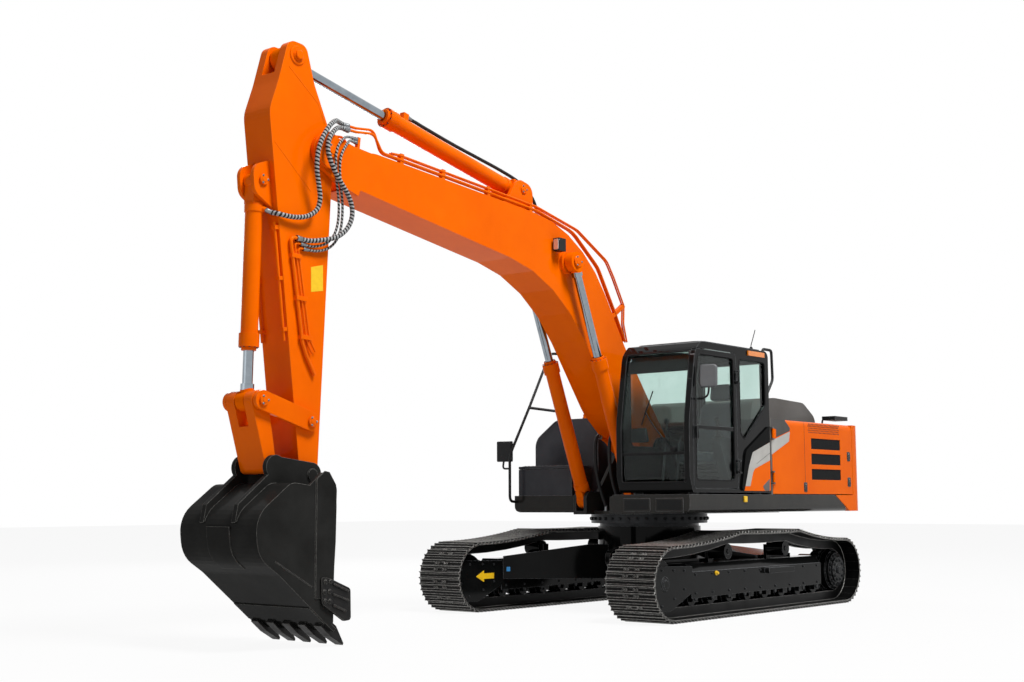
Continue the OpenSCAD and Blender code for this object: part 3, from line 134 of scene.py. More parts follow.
# Pale grey floor paint, matt: it shows white to the eye and keeps a share of the shadow under the tracks.
m, t, b = material("floor_matt_pale_grey", "#d8d8d8", 0.9)
seen = add(t, "ShaderNodeMath", {0: seen_rays(t)}, {1: 0.92}, operation="MULTIPLY")
glow = add(t, "ShaderNodeEmission", Strength=1.0)
mix = add(t, "ShaderNodeMixShader", {0: seen.outputs[0], 1: b.outputs[0], 2: glow.outputs[0]})
t.links.new(mix.outputs[0], t.nodes["Material Output"].inputs["Surface"])
floor.data.materials.append(m)


def lamp(name, energy, size, place, target):
    """Square soft lamp of the given side in metres at place, with its -Z axis turned to target."""
    light = bpy.data.lights.new(name, "AREA")
    light.energy, light.size = energy, size
    o = bpy.data.objects.new(name, light)
    o.location = place
    o.rotation_euler = (Vector(target) - Vector(place)).to_track_quat("-Z", "Y").to_euler()
    scene.collection.objects.link(o)


lamp("key", 4600, 6, (4, 11, 18.6), (2, 0, 2))
lamp("fill", 150, 8, (16, -3, 7), (2, 0, 2))
lamp("rim", 900, 6, (-6, -12, 8), (0, 0, 1.8))

# Hydraulic hoses: rubber, crimped into steel ends. Four with a wound guard of grey plastic hang in loops
# from the boom's pipes to the arm; one bare hose lies on the arm cylinder, and two rise to the boom foot.


def grid_faces(n, m, wrap_n=False, wrap_m=False):
    """Quads of n rows of m points: point (i, j) is i * m + j, and a wrapped way joins its last line
    to its first."""
    i = np.arange(n if wrap_n else n - 1)[:, None]
    j = np.arange(m if wrap_m else m - 1)[None, :]
    a, b = i * m + j, i * m + (j + 1) % m
    c, d = (i + 1) % n * m + (j + 1) % m, (i + 1) % n * m + j
    return np.stack([a, b, c, d], -1).reshape(-1, 4)


def piece(name, points, faces, finish_of, body, slot, sharp=35):
    """One mesh of points in millimetres, with doubles merged and faces turned outwards, on one body."""
    me = bpy.data.meshes.new(name)
    corners = (np.asarray(points).reshape(-1, 3) / 1000).tolist()
    me.from_pydata(corners, [], [list(map(int, f)) for f in faces])
    bm = bmesh.new()
    bm.from_mesh(me)
    bmesh.ops.remove_doubles(bm, verts=bm.verts, dist=2e-5)
    bmesh.ops.dissolve_degenerate(bm, edges=bm.edges, dist=1e-5)
    bmesh.ops.recalc_face_normals(bm, faces=bm.faces)
    bm.to_mesh(me)
    bm.free()
    me.set_sharp_from_angle(angle=math.radians(sharp))
    o = bpy.data.objects.new(name, me)
    scene.collection.objects.link(o)
    me.materials.append(finish_of)
    if body:
        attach(o, body)
    return o


def curve(points, count):
    """Points spread evenly along the smooth curve through the given ones: on each stretch
    p = ((2 a1) + (a2 - a0) t + (2 a0 - 5 a1 + 4 a2 - a3) t^2 + (3 a1 - a0 - 3 a2 + a3) t^3) / 2."""
    p = np.asarray(points, float)
    p = np.vstack([2 * p[0] - p[1], p, 2 * p[-1] - p[-2]])
    t = np.linspace(0, 1, 24, endpoint=False)[None, :, None]
    a, b, c, d = p[:-3, None], p[1:-2, None], p[2:-1, None], p[3:, None]
    q = (2 * b + (c - a) * t + (2 * a - 5 * b + 4 * c - d) * t ** 2 + (3 * b - a - 3 * c + d) * t ** 3) / 2
    q = np.vstack([q.reshape(-1, p.shape[1]), p[-2:-1]])
    s = np.concatenate([[0], np.cumsum(np.linalg.norm(np.diff(q, axis=0), axis=1))])
    return np.stack([np.interp(np.linspace(0, s[-1], count), s, q[:, k]) for k in range(p.shape[1])], 1)


def sweep(line, profile, up=(0.13, 0.97, 0.21)):
    """A closed profile (x, y) carried along a line: corner = line point + x * side + y * rise, where side is
    up x way and rise is way x side. A profile with one more axis changes along the line."""
    line = np.asarray(line, float)
    way = np.gradient(line, axis=0)
    way /= np.linalg.norm(way, axis=1)[:, None]
    across = np.cross(np.asarray(up, float), way)
    across /= np.linalg.norm(across, axis=1)[:, None]
    rise = np.cross(way, across)
    profile = np.broadcast_to(profile, (len(line),) + np.shape(profile)[-2:])
    grid = line[:, None] + profile[..., :1] * across[:, None] + profile[..., 1:] * rise[:, None]
    n, m = grid.shape[:2]
    caps = [list(range(m))[::-1], list(range((n - 1) * m, n * m))]
    return grid.reshape(-1, 3), grid_faces(n, m, wrap_m=True).tolist() + caps


def circle(r, sides=12):
    """Corners of a circle: (r cos a, r sin a) at even angles a."""
    a = np.arange(sides) * 2 * np.pi / sides
    return np.stack([r * np.cos(a), r * np.sin(a)], 1)


# Plastic guard wound on nitrile hose: matt black with pale turns 17 mm wide, every 34 mm of its length.
# The real winding is finer: this one is as coarse as it needs to be to show.
hose_guard, t, b = material("wound_hose_guard", "#2b2c2d", 0.55, Specular_IOR_Level=0.2)
uv = add(t, "ShaderNodeUVMap", uv_map="along").outputs[0]
split = add(t, "ShaderNodeSeparateXYZ", {0: uv})
wind = add(t, "ShaderNodeMath", {0: split.outputs[0]}, {1: 1000 / 34}, operation="MULTIPLY")
wind = add(t, "ShaderNodeMath", {0: wind.outputs[0], 1: split.outputs[1]}, operation="ADD")
wind = add(t, "ShaderNodeMath", {0: wind.outputs[0]}, operation="FRACT")
hump = add(t, "ShaderNodeMath", {0: wind.outputs[0]}, {1: 0.5}, operation="PINGPONG")
rings = add(t, "ShaderNodeMapRange", {"Value": hump.outputs[0]}, From_Min=0.2, From_Max=0.3).outputs[0]
color = add(t, "ShaderNodeMix", {0: rings}, {6: linear("#0e0f10"), 7: linear("#a6a8a8")}, data_type="RGBA")
t.links.new(color.outputs[2], b.inputs["Base Color"])
ridge = add(t, "ShaderNodeBump", {"Height": rings}, Strength=0.7, Distance=0.004)
t.links.new(ridge.outputs[0], b.inputs["Normal"])

# Bare nitrile hose: matt black with a dusty drift over some 60 mm and the cloth print of its wrap.
hose_plain, t, b = material("black_rubber_hose", "#1b1c1d", 0.6, Specular_IOR_Level=0.2)
place = add(t, "ShaderNodeTexCoord").outputs["Object"]
drift = add(t, "ShaderNodeTexNoise", {"Vector": place}, Scale=1000 / 60, Detail=4.0).outputs["Fac"]
color = add(t, "ShaderNodeMix", {0: drift}, {6: linear("#141516"), 7: linear("#2a2b2c")}, data_type="RGBA")
t.links.new(color.outputs[2], b.inputs["Base Color"])
wrap = add(t, "ShaderNodeTexNoise", {"Vector": place}, Scale=1000 / 3, Detail=2.0).outputs["Fac"]
ridge = add(t, "ShaderNodeBump", {"Height": wrap}, Strength=0.25, Distance=0.001)
t.links.new(ridge.outputs[0], b.inputs["Normal"])

foot_line = [[828, 1975], [870, 1989], [912, 1968], [937, 1900], [942, 1810], [940, 1720], [930, 1630],
             [910, 1540], [880, 1450], [840, 1360], [795, 1275], [755, 1205], [740, 1165], [740, 1130.4]]
foot_left = [[x, 100, z] for x, z in foot_line]
foot_right = [[x, -100, z] for x, z in foot_line]
barrel_line = np.array([[1719, 125], [1660, 125], [1580, 127], [1500, 125], [1400, 125], [1300, 125],
                        [1200, 125], [1080, 126], [960, 128], [840, 132], [720, 136], [600, 140], [480, 144],
                        [360, 148], [240, 150], [120, 150], [0, 146], [-110, 134], [-220, 108], [-315, 66],
                        [-390, 8], [-437, -55], [-456, -111], [-459, -135]])
# The arm cylinder lies at 11.5 degrees between its pins; the hose's points are along it and above its axis.
foot_x, foot_z, head_x, head_z = 2557.067, 4582.475, 5828.647, 5248.997
tilt = math.atan2(head_z - foot_z, head_x - foot_x)
along, over = barrel_line.T
on_barrel = np.stack([foot_x + along * math.cos(tilt) - over * math.sin(tilt), 0 * along,
                      foot_z + along * math.sin(tilt) + over * math.cos(tilt)], 1)
loop_1 = [[5211, 200, 4719], [5270, 200, 4719], [5350, 224, 4722], [5450, 280, 4706], [5570, 330, 4625],
          [5665, 338, 4490], [5708, 330, 4350], [5702, 314, 4200], [5660, 296, 4060], [5632, 282, 3950],
          [5650, 264, 3850], [5735, 246, 3782], [5850, 232, 3752], [5960, 220, 3748], [6040, 200, 3757],
          [6078, 140, 3773], [6101, 98, 3794]]
loop_2 = [[5233, 226, 4674], [5291, 226, 4674], [5370, 246, 4664], [5460, 290, 4622], [5545, 316, 4540],
          [5582, 324, 4440], [5566, 326, 4340], [5500, 324, 4230], [5410, 318, 4130], [5320, 312, 4040],
          [5262, 308, 3935], [5258, 304, 3825], [5314, 298, 3716], [5420, 286, 3632], [5550, 258, 3588],
          [5680, 216, 3566], [5770, 198, 3568], [5830, 197, 3571]]
loop_3 = [[5110, 209, 4609], [5168, 209, 4615], [5235, 228, 4606], [5300, 256, 4585], [5365, 286, 4545],
          [5425, 302, 4485], [5458, 304, 4400], [5458, 298, 4310], [5438, 284, 4190], [5405, 268, 4070],
          [5378, 258, 3950], [5374, 252, 3830], [5392, 248, 3720], [5436, 242, 3630], [5512, 230, 3560],
          [5620, 208, 3524], [5720, 198, 3521], [5783, 197, 3524]]
loop_4 = [[5113, 209, 4578], [5171, 209, 4584], [5226, 236, 4570], [5278, 266, 4538], [5330, 290, 4490],
          [5378, 300, 4425], [5402, 300, 4350], [5402, 292, 4270], [5380, 278, 4165], [5350, 264, 4050],
          [5328, 255, 3930], [5326, 249, 3820], [5342, 245, 3710], [5388, 238, 3606], [5468, 226, 3528],
          [5580, 206, 3488], [5690, 198, 3481], [5750, 197, 3484]]


def hose(name, node, route, r, rubber):
    """A tube on the smooth curve through the route, with its length in metres kept as a map along it."""
    count, sides = 160, 14
    line = curve(route, count)
    points, faces = sweep(line, circle(r, sides))
    me = bpy.data.meshes.new(name)
    me.from_pydata((points / 1000).tolist(), [], faces)
    along = np.concatenate([[0], np.cumsum(np.linalg.norm(np.diff(line, axis=0), axis=1))]) / 1000
    i, j = np.divmod(np.arange((count - 1) * sides), sides)
    u = np.stack([along[i], along[i], along[i + 1], along[i + 1]], 1)
    v = np.stack([j, j + 1, j + 1, j], 1) / sides
    caps = np.zeros((2 * sides, 2))
    me.uv_layers.new(name="along").data.foreach_set(
        "uv", np.concatenate([np.stack([u, v], -1).reshape(-1, 2), caps]).ravel().astype(np.float32))
    me.shade_smooth()
    o = bpy.data.objects.new(name, me)
    scene.collection.objects.link(o)
    me.materials.append(rubber)
    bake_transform(o)
    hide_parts(node)


for name, route, r in (("arm_hose_1", loop_1, 22), ("arm_hose_2", loop_2, 22), ("arm_hose_3", loop_3, 12),
                       ("arm_hose_4", loop_4, 12)):
    hose("loop_" + name, name, route, r, hose_guard)
hose("barrel_hose", "cylinder_hose", on_barrel, 18, hose_plain)
hose("foot_hose_l", "foot_hose_left", foot_left, 20, hose_plain)
hose("foot_hose_r", "foot_hose_right", foot_right, 20, hose_plain)

# Undercarriage: cast and welded steel frames under black chassis paint, with rollers, idlers and drives.
# Each track is a chain of pressed shoes, held by eight bolts a shoe, and bright on its ridges: rubbed steel
# and a painted highlight.


def finish(name, tone, other, patch, rough, grain, bump, metallic=0.0, edge=None, radius=5, **sockets):
    """A surface that drifts between two tones and two roughnesses over patches, with a fine bump.
    patch, grain and radius are in millimetres: the size of the drift, of the bump and of the rounded edges.
    edge is a tone shown where the rounded normal leaves the face's own: rubbed wear, and on glossy paints
    also a painted highlight."""
    m, t, b = material(name, tone, rough[0], metallic, **sockets)
    place = add(t, "ShaderNodeTexCoord").outputs["Object"]
    drift = add(t, "ShaderNodeTexNoise", {"Vector": place}, Scale=1000 / patch, Detail=6.0,
                Roughness=0.62).outputs["Fac"]
    drift = add(t, "ShaderNodeMapRange", {"Value": drift}, From_Min=0.32, From_Max=0.68).outputs[0]
    color = add(t, "ShaderNodeMix", {0: drift}, {6: linear(tone), 7: linear(other)},
                data_type="RGBA").outputs[2]
    shine = add(t, "ShaderNodeMapRange", {"Value": drift}, To_Min=rough[0], To_Max=rough[1]).outputs[0]
    if radius:
        eased = add(t, "ShaderNodeBevel", samples=4, Radius=radius / 1000).outputs["Normal"]
    else:
        eased = add(t, "ShaderNodeNewGeometry").outputs["Normal"]
    # Pale edge tone: rubbed wear, and in part a painted highlight.
    if edge:
        face = add(t, "ShaderNodeNewGeometry").outputs["Normal"]
        bend = add(t, "ShaderNodeVectorMath", {0: eased, 1: face}, operation="DOT_PRODUCT").outputs["Value"]
        edge_patches = add(t, "ShaderNodeTexNoise", {"Vector": place}, Scale=1000 / 25, Detail=4.0).outputs["Fac"]
        bend = add(t, "ShaderNodeMapRange", {"Value": bend}, From_Min=0.995, From_Max=0.9).outputs[0]
        rub_and_highlight = add(t, "ShaderNodeMath", {0: bend, 1: edge_patches}, operation="MULTIPLY").outputs[0]
        color = add(t, "ShaderNodeMix", {0: rub_and_highlight, 6: color}, {7: linear(edge)}, data_type="RGBA").outputs[2]
    t.links.new(color, b.inputs["Base Color"])
    t.links.new(shine, b.inputs["Roughness"])
    fine = add(t, "ShaderNodeTexNoise", {"Vector": place}, Scale=1000 / grain, Detail=3.0).outputs["Fac"]
    relief = add(t, "ShaderNodeBump", {"Height": fine, "Normal": eased}, Strength=bump, Distance=0.001)
    t.links.new(relief.outputs[0], b.inputs["Normal"])
    return m


def dress(mat, *names):
    """Gives CAD nodes one material in place of their own."""
    for name in names:
        nodes[name].data.materials.clear()
        nodes[name].data.materials.append(mat)


# Rolled manganese steel: near black with grey dust, and a bright tone on the ridges of the shoes: rubbed
# steel and a painted highlight.
track_steel = finish("rolled_track_steel", "#101010", "#1a1a1a", 260, (0.3, 0.5), 5, 0.35, 0.75, "#dcdad5",
                     12, Specular_IOR_Level=0.1)
# Semi-gloss black chassis enamel over castings: a little dust in the drift, grain of 4 mm from the sand.
# Its pale grey edge tone is a painted highlight.
chassis_paint = finish("black_chassis_enamel", "#090a0a", "#121313", 420, (0.28, 0.45), 4, 0.12, 0.0,
                       "#a3a5a8", 6, Coat_Weight=1.0, Coat_IOR=1.18, Coat_Roughness=0.08,
                       Specular_IOR_Level=0.0)
# Zinc-plated bolts: pale grey metal, a little dull.
bolt_zinc = finish("zinc_plated_steel", "#8d9092", "#6f7274", 30, (0.3, 0.45), 1.5, 0.1, 1.0)
# Blackened bolts on the frames: dark steel, rubbed grey on its corners.
bolt_black = finish("blackened_bolt_steel", "#1a1b1c", "#292a2c", 30, (0.35, 0.5), 1.5, 0.1, 0.4, "#6a6c6e",
                    2, Specular_IOR_Level=0.2)
# Blackened ground steel of the slewing ring.
ring_steel = finish("ground_bearing_steel", "#232425", "#333436", 90, (0.3, 0.4), 2, 0.06, 0.6,
                    Specular_IOR_Level=0.2)
dress(track_steel, "track_left", "track_right")
dress(chassis_paint, "center_frame", "track_frame_left", "track_frame_right", "rollers", "idlers",
      "sprockets")
dress(ring_steel, "race_inner", "race_outer")


def lathe(profile, sides=24, hexed=0):
    """A profile of (radius, height) turned round Z; the first hexed points follow a hexagon, whose radius
    is cos 30 / cos(a - 30) on each side of 60 degrees, instead of a circle."""
    p = np.asarray(profile, float)
    a = np.arange(sides) * 2 * np.pi / sides
    flat = np.cos(np.pi / 6) / np.cos((a % (np.pi / 3)) - np.pi / 6)
    r = p[:, :1] * np.where(np.arange(len(p))[:, None] < hexed, flat[None], 1.0)
    grid = np.stack([r * np.cos(a), r * np.sin(a), np.broadcast_to(p[:, 1:], r.shape)], -1)
    return grid.reshape(-1, 3), grid_faces(len(p), sides, wrap_m=True)


def aimed(points, axes):
    """Turns points so that their Z lies along each of the given axes: x' = x * a + y * b + z * axis."""
    axes = np.atleast_2d(np.asarray(axes, float))
    axes = axes / np.linalg.norm(axes, axis=1)[:, None]
    a = np.cross(np.where(np.abs(axes[:, :1]) > 0.9, [[0.0, 1, 0]], [[1.0, 0, 0]]), axes)
    a /= np.linalg.norm(a, axis=1)[:, None]
    b = np.cross(axes, a)
    x, y, z = points[:, 0, None], points[:, 1, None], points[:, 2, None]
    return x * a[:, None] + y * b[:, None] + z * axes[:, None]


def copies(points, faces, places, axes):
    """The same shape at each place along its axis, as one array of corners and one of faces."""
    places = np.atleast_2d(np.asarray(places, float))
    axes = np.broadcast_to(np.atleast_2d(np.asarray(axes, float)), places.shape)
    all_points = aimed(points, axes) + places[:, None]
    step = np.arange(len(places))[:, None, None] * len(points)
    return all_points.reshape(-1, 3), (np.asarray(faces)[None] + step).reshape(-1, np.shape(faces)[1])


def bolts(name, places, axes, size, mat, body, slot):
    """Hexagon heads of the given width on round washers, each standing on its place along its axis."""
    s = size / 2
    head = lathe([(0, s * 1.1), (s * 0.8, s * 1.1), (s, s), (s, s * 0.3), (s * 1.35, s * 0.3), (s * 1.35, 0),
                  (0, 0)], 12, 4)
    return piece(name, *copies(*head, places, axes), mat, body, slot)


def ring_places(center, axis, r, count, start=0.0):
    """Places at even angles a on a circle round an axis: center + r cos a and r sin a across the axis."""
    a = start + np.arange(count) * 2 * np.pi / count
    return aimed(np.stack([r * np.cos(a), r * np.sin(a), 0 * a], 1), [axis])[0] + np.asarray(center, float)


# Belt line of the shoes: arcs round the two end wheels and two carrier rollers, and straight runs that sag.
wheel_x, wheel_z, wheel_r = 1925, 395, 357
wheels = np.array([[wheel_x, wheel_z, wheel_r], [550, 686, 190], [-750, 686, 190],
                   [-wheel_x, wheel_z, wheel_r]], float)
gap = np.roll(wheels, -1, 0)[:, :2] - wheels[:, :2]
apart = np.hypot(*gap.T)
drop = wheels[:, 2] - np.roll(wheels, -1, 0)[:, 2]
face = np.degrees(np.arctan2(gap[:, 1], gap[:, 0]) - np.arccos(drop / apart))
bend = (face - np.roll(face, 1) + 720) % 360
arc = wheels[:, 2] * np.radians(bend)
run = np.sqrt(apart ** 2 - drop ** 2)
start = np.concatenate([[0], np.cumsum(arc + run)])
sag = np.array([30, 10, 30, 0.0])


def on_belt(s, h):
    """Point and outward way at the length s along the shoes, h outside their inner face: on an arc the
    centre plus (r + h) along the angle, on a run the tangent line less its parabola of sag."""
    s = s % start[-1]
    k = np.searchsorted(start, s, "right") - 1
    d, c = s - start[k], wheels[k]
    round_part = d < arc[k]
    a = np.radians(np.where(round_part, face[k - 1] + np.degrees(d / c[:, 2]), face[k]))
    e = np.where(round_part, 0, d - arc[k])
    f = e / run[k]
    x = c[:, 0] + (c[:, 2] + h) * np.cos(a) - e * np.sin(a)
    z = c[:, 1] + (c[:, 2] + h) * np.sin(a) + e * np.cos(a) - 4 * sag[k] * f * (1 - f)
    return np.stack([x, z], 1), np.stack([np.cos(a), np.sin(a)], 1)


shoes, track_y = 51, 1295
shoe, way, row = np.meshgrid(np.arange(shoes), [-0.17, 0.17], [-82, -48, 48, 82], indexing="ij")
spot, normal = on_belt((shoe.ravel() + 0.5 + way.ravel()) * start[-1] / shoes, 12)
for name, y in (("left", track_y), ("right", -track_y)):
    at = np.stack([spot[:, 0], y + row.ravel(), spot[:, 1]], 1)
    out = np.stack([normal[:, 0], 0 * at[:, 1], normal[:, 1]], 1)
    bolts("shoe_bolts_" + name, at, out, 24, track_steel, "undercarriage", "track")

# Final drives, guard plates, idlers and rollers: turned black covers and caps over their shafts,
# and rows of blackened bolts that hold the plates.
for name, s in (("left", 1), ("right", -1)):
    y = s * track_y
    spots = np.vstack([ring_places((-wheel_x, y + s * 160, wheel_z), (0, s, 0), 178, 18),
                       ring_places((-wheel_x, y + s * 190, wheel_z), (0, s, 0), 118, 10, 0.3)])
    bolts("drive_bolts_" + name, spots, (0, s, 0), 30, bolt_black, "undercarriage", "under")
    cover = lathe([(0, 26), (46, 26), (52, 20), (52, 6), (86, 6), (92, 0), (0, 0)], 32)
    piece("drive_cover_" + name, *copies(*cover, [(-wheel_x, y + s * 190, wheel_z)], (0, s, 0)),
          chassis_paint, "undercarriage", "under")
    x, m = np.meshgrid(-1400 + 340 * np.arange(9), [-1, 1], indexing="ij")
    caps = lathe([(0, 10), (22, 10), (30, 4), (30, 0), (0, 0)], 20)
    spots = np.stack([x.ravel(), y + m.ravel() * 160, 0 * x.ravel() + 223], 1)
    ways = np.stack([0 * x.ravel(), m.ravel(), 0 * x.ravel()], 1)
    piece("roller_caps_" + name, *copies(*caps, spots, ways), bolt_black, "undercarriage", "under")
    x, z = np.meshgrid(-1380 + 340 * np.arange(9), [275, 470], indexing="ij")
    guard = np.array([[1560, 520], [1560, 330], [1750, 240], [1990, 175], [2130, 330], [2130, 480],
                      [1980, 535], [1760, 530]])
    spots = np.concatenate([np.stack([x.ravel(), z.ravel()], 1), guard])
    for inner, m in (("outer", s), ("inner", -s)):
        at = np.stack([spots[:, 0], 0 * spots[:, 0] + y + m * 179, spots[:, 1]], 1)
        bolts("wall_bolts_" + name + "_" + inner, at, (0, m, 0), 22, bolt_black, "undercarriage", "under")
    at = [(wheel_x, y + s * 179, wheel_z)]
    hub = lathe([(0, 14), (40, 14), (48, 8), (70, 8), (78, 0), (0, 0)], 28)
    piece("idler_hub_" + name, *copies(*hub, at, (0, s, 0)), chassis_paint, "undercarriage", "under")


def plate(outline, origin, right_way, up_way, depth, ease):
    """A plate with eased edges: its outline, in millimetres along two ways from an origin, is drawn in by
    ease at both faces, and stands depth along right_way x up_way. A corner moves along the bisector of its
    two edges until both edges have moved by ease."""
    q = np.asarray(outline, float)
    edge = np.roll(q, -1, 0) - q
    if np.sum(q[:, 0] * np.roll(q[:, 1], -1) - np.roll(q[:, 0], -1) * q[:, 1]) < 0:
        q = q[::-1]
        edge = np.roll(q, -1, 0) - q
    n = np.stack([-edge[:, 1], edge[:, 0]], 1) / np.linalg.norm(edge, axis=1)[:, None]
    before = np.roll(n, 1, 0)
    draw = (n + before) / (1 + np.sum(n * before, 1, keepdims=True))
    rings = [(q + ease * draw, 0), (q, ease), (q, depth - ease), (q + ease * draw, depth)]
    ex, ey = np.asarray(right_way, float), np.asarray(up_way, float)
    ez = np.cross(ex, ey)
    base = np.asarray(origin, float)
    points = np.concatenate([base + r[:, :1] * ex + r[:, 1:] * ey + h * ez for r, h in rings])
    k = len(q)
    return points, grid_faces(4, k, wrap_m=True).tolist() + [list(range(k))[::-1], list(range(3 * k, 4 * k))]


def rounded(lo, hi, r, steps=5):
    """Outline of a rectangle with round corners: a quarter circle at each corner's centre."""
    (x0, y0), (x1, y1) = lo, hi
    a = np.linspace(0, np.pi / 2, steps)[None] + np.arange(4)[:, None] * np.pi / 2
    c = np.array([[x1 - r, y1 - r], [x0 + r, y1 - r], [x0 + r, y0 + r], [x1 - r, y0 + r]], float)
    return (c[:, None] + r * np.stack([np.cos(a), np.sin(a)], -1)).reshape(-1, 2)


def together(*shapes):
    """Several shapes as one list of corners and one of faces."""
    step = np.cumsum([0] + [len(p) for p, _ in shapes])
    faces = [[int(i) + int(k) for i in f] for (_, fs), k in zip(shapes, step) for f in fs]
    return np.concatenate([p for p, _ in shapes]), faces


# Slewing ring: a row of bolt heads stands round its outer race, below the deck.
lo, hi = (np.asarray(c) * 1000 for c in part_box("race_outer"))
a = (np.arange(40) + 0.5) * np.pi / 20
spots = np.stack([hi[0] * np.cos(a), hi[0] * np.sin(a), 0 * a + (lo[2] + hi[2]) / 2], 1)
bolts("ring_bolts", spots, spots * (1, 1, 0), 34, bolt_black, "upper", "bearing")

# Signs on the undercarriage: a yellow vinyl arrow for the way ahead and a blank blue tag, stuck on.
# Yellow caps are pressed over the grease points of the track frames.
# Yellow vinyl film: even and slightly glossy, with a faint grain of 3 mm.
vinyl_yellow = finish("yellow_vinyl_film", "#f2c413", "#e8b70d", 40, (0.35, 0.45), 3, 0.05)
# Blue vinyl film: the same film in a clear mid blue.
tag_blue = finish("blue_vinyl_film", "#2f8fd0", "#2a80bd", 40, (0.35, 0.45), 3, 0.05)
arrow = [(-160, 0), (-20, 67), (-20, 32), (158, 32), (158, -32), (-20, -32), (-20, -67)]
sign = plate(arrow, (1714, -1116, 393), (-1, 0, 0), (0, 0, 1), 2, 0.5)
piece("arrow_sign", *sign, vinyl_yellow, "undercarriage", "under")
sign = plate(rounded((-22, -26), (22, 26), 6), (1350, -1070.5, 460), (-0.66, 0.752, 0), (0, 0, 1), 2, 0.5)
piece("blue_tag", *sign, tag_blue, "undercarriage", "under")
cap = lathe([(0, 34), (12, 34), (17, 28), (17, 12), (26, 10), (26, 0), (0, 0)], 12)
both_ways = [(0, 1, 0), (0, -1, 0)]
piece("grease_caps", *copies(*cap, [(929, 1474, 470), (929, -1474, 470)], both_ways), vinyl_yellow,
      "undercarriage", "under")

# Deck and counterweight: a welded deck with folded skirts in black enamel, and an iron casting in orange.
# The weight has two screwed plugs where it is lifted, and a yellow tie-down block marks the left skirt.
# Orange machine enamel: a glossy sprayed coat with an orange-peel of 3 mm, and paler edges: dust and a
# painted highlight.
orange_tones = ("#f46a00", "#ea6000")
orange_paint = finish("orange_machine_enamel", *orange_tones, 800, (0.3, 0.42), 3, 0.04, 0.0, "#f28a33", 5,
                      Coat_Weight=0.6, Coat_IOR=1.14, Coat_Roughness=0.12, Specular_IOR_Level=0.0)
# Black deck enamel: semi-gloss, with grey dust that lies in patches, and greyer edges: walked-on wear and a
# painted highlight.
deck_paint = finish("black_deck_enamel", "#2a2a29", "#33322f", 480, (0.32, 0.52), 3, 0.06, 0.0, "#9a9c9f", 6,
                    Coat_Weight=1.0, Coat_IOR=1.2, Coat_Roughness=0.12, Specular_IOR_Level=0.0)
dress(orange_paint, "counterweight", "radiator_door", "pump_door", "boom", "boom_pipes", "boom_barrels",
      "arm_barrel", "arm", "arm_pipes", "bucket_barrel", "side_links", "bucket_link")
# Blue-black enamel of the tank, the tool box and the cab's roof: the same gloss, a step paler and cooler as a
# painted sheen of the sky, with pale edges that are a painted highlight.
tank_paint = finish("blue_black_enamel_painted_sheen", "#393b40", "#45474c", 480, (0.32, 0.5), 3, 0.06, 0.0, "#a7a9ad", 7,
                    Coat_Weight=1.0, Coat_IOR=1.2, Coat_Roughness=0.12, Specular_IOR_Level=0.0)
dress(deck_paint, "main_frame")
dress(tank_paint, "fuel_tank", "tool_box", "tool_box_lid")
plug = lathe([(0, 22), (44, 22), (50, 16), (50, 8), (74, 8), (80, 2), (80, 0), (0, 0)], 28)
piece("lifting_plugs", *copies(*plug, [(-2450, 760, 2190), (-2450, -760, 2190)], (0, 0, 1)), deck_paint,
      "upper", "frame")
step = plate(rounded((-34, -34), (34, 34), 10), (266, 1465, 1258), (-1, 0, 0), (0, 0, 1), 16, 3)
piece("skirt_tie_down", *step, vinyl_yellow, "upper", "frame")

# Engine covers: folded sheet in warm grey on top, and orange doors at the sides that close on latches.
# The left door has three slots over black fins, punched holes, and silver film that runs on to the cab.
# Warm grey enamel: satin, with a grain of 3 mm and dust in the drift.
grey_paint = finish("warm_grey_enamel", "#625f5c", "#585552", 600, (0.36, 0.52), 3, 0.05, 0.0, "#8d8881", 5,
                    Specular_IOR_Level=0.2)
# Dark grey enamel of the top corner: the same satin, two steps deeper.
corner_paint = finish("dark_grey_enamel", "#474543", "#3e3c3a", 500, (0.36, 0.5), 3, 0.05,
                      Specular_IOR_Level=0.2)
# Silver film: metal flakes under clear vinyl, so it is bright and drifts a little with the light.
silver_film = finish("silver_vinyl_film", "#b9b7b2", "#a9a7a2", 300, (0.3, 0.4), 2, 0.04, 0.45)
# Black painted mesh and fins behind the slots.
core_black = finish("black_radiator_fins", "#111213", "#1a1b1c", 60, (0.5, 0.65), 3, 0.2,
                    Specular_IOR_Level=0.15)
# Cast iron of engine and valves: grey primer, rough as sand.
cast_iron = finish("grey_primed_cast_iron", "#5d6163", "#4c5052", 90, (0.5, 0.7), 4, 0.4, 0.1)
dress(grey_paint, "engine_cover", "engine_hood")
dress(cast_iron, "engine", "valve_block")


def decal(name, outline, y, mat, body, slot, depth=1.6):
    """A flat film or plate on a side: its outline in x and z stands depth out from the face at y."""
    s = 1 if y > 0 else -1
    q = np.asarray(outline, float) * (-s, 1)
    return piece(name, *plate(q, (0, y, 0), (-s, 0, 0), (0, 0, 1), depth, min(depth / 4, 2)), mat, body, slot)


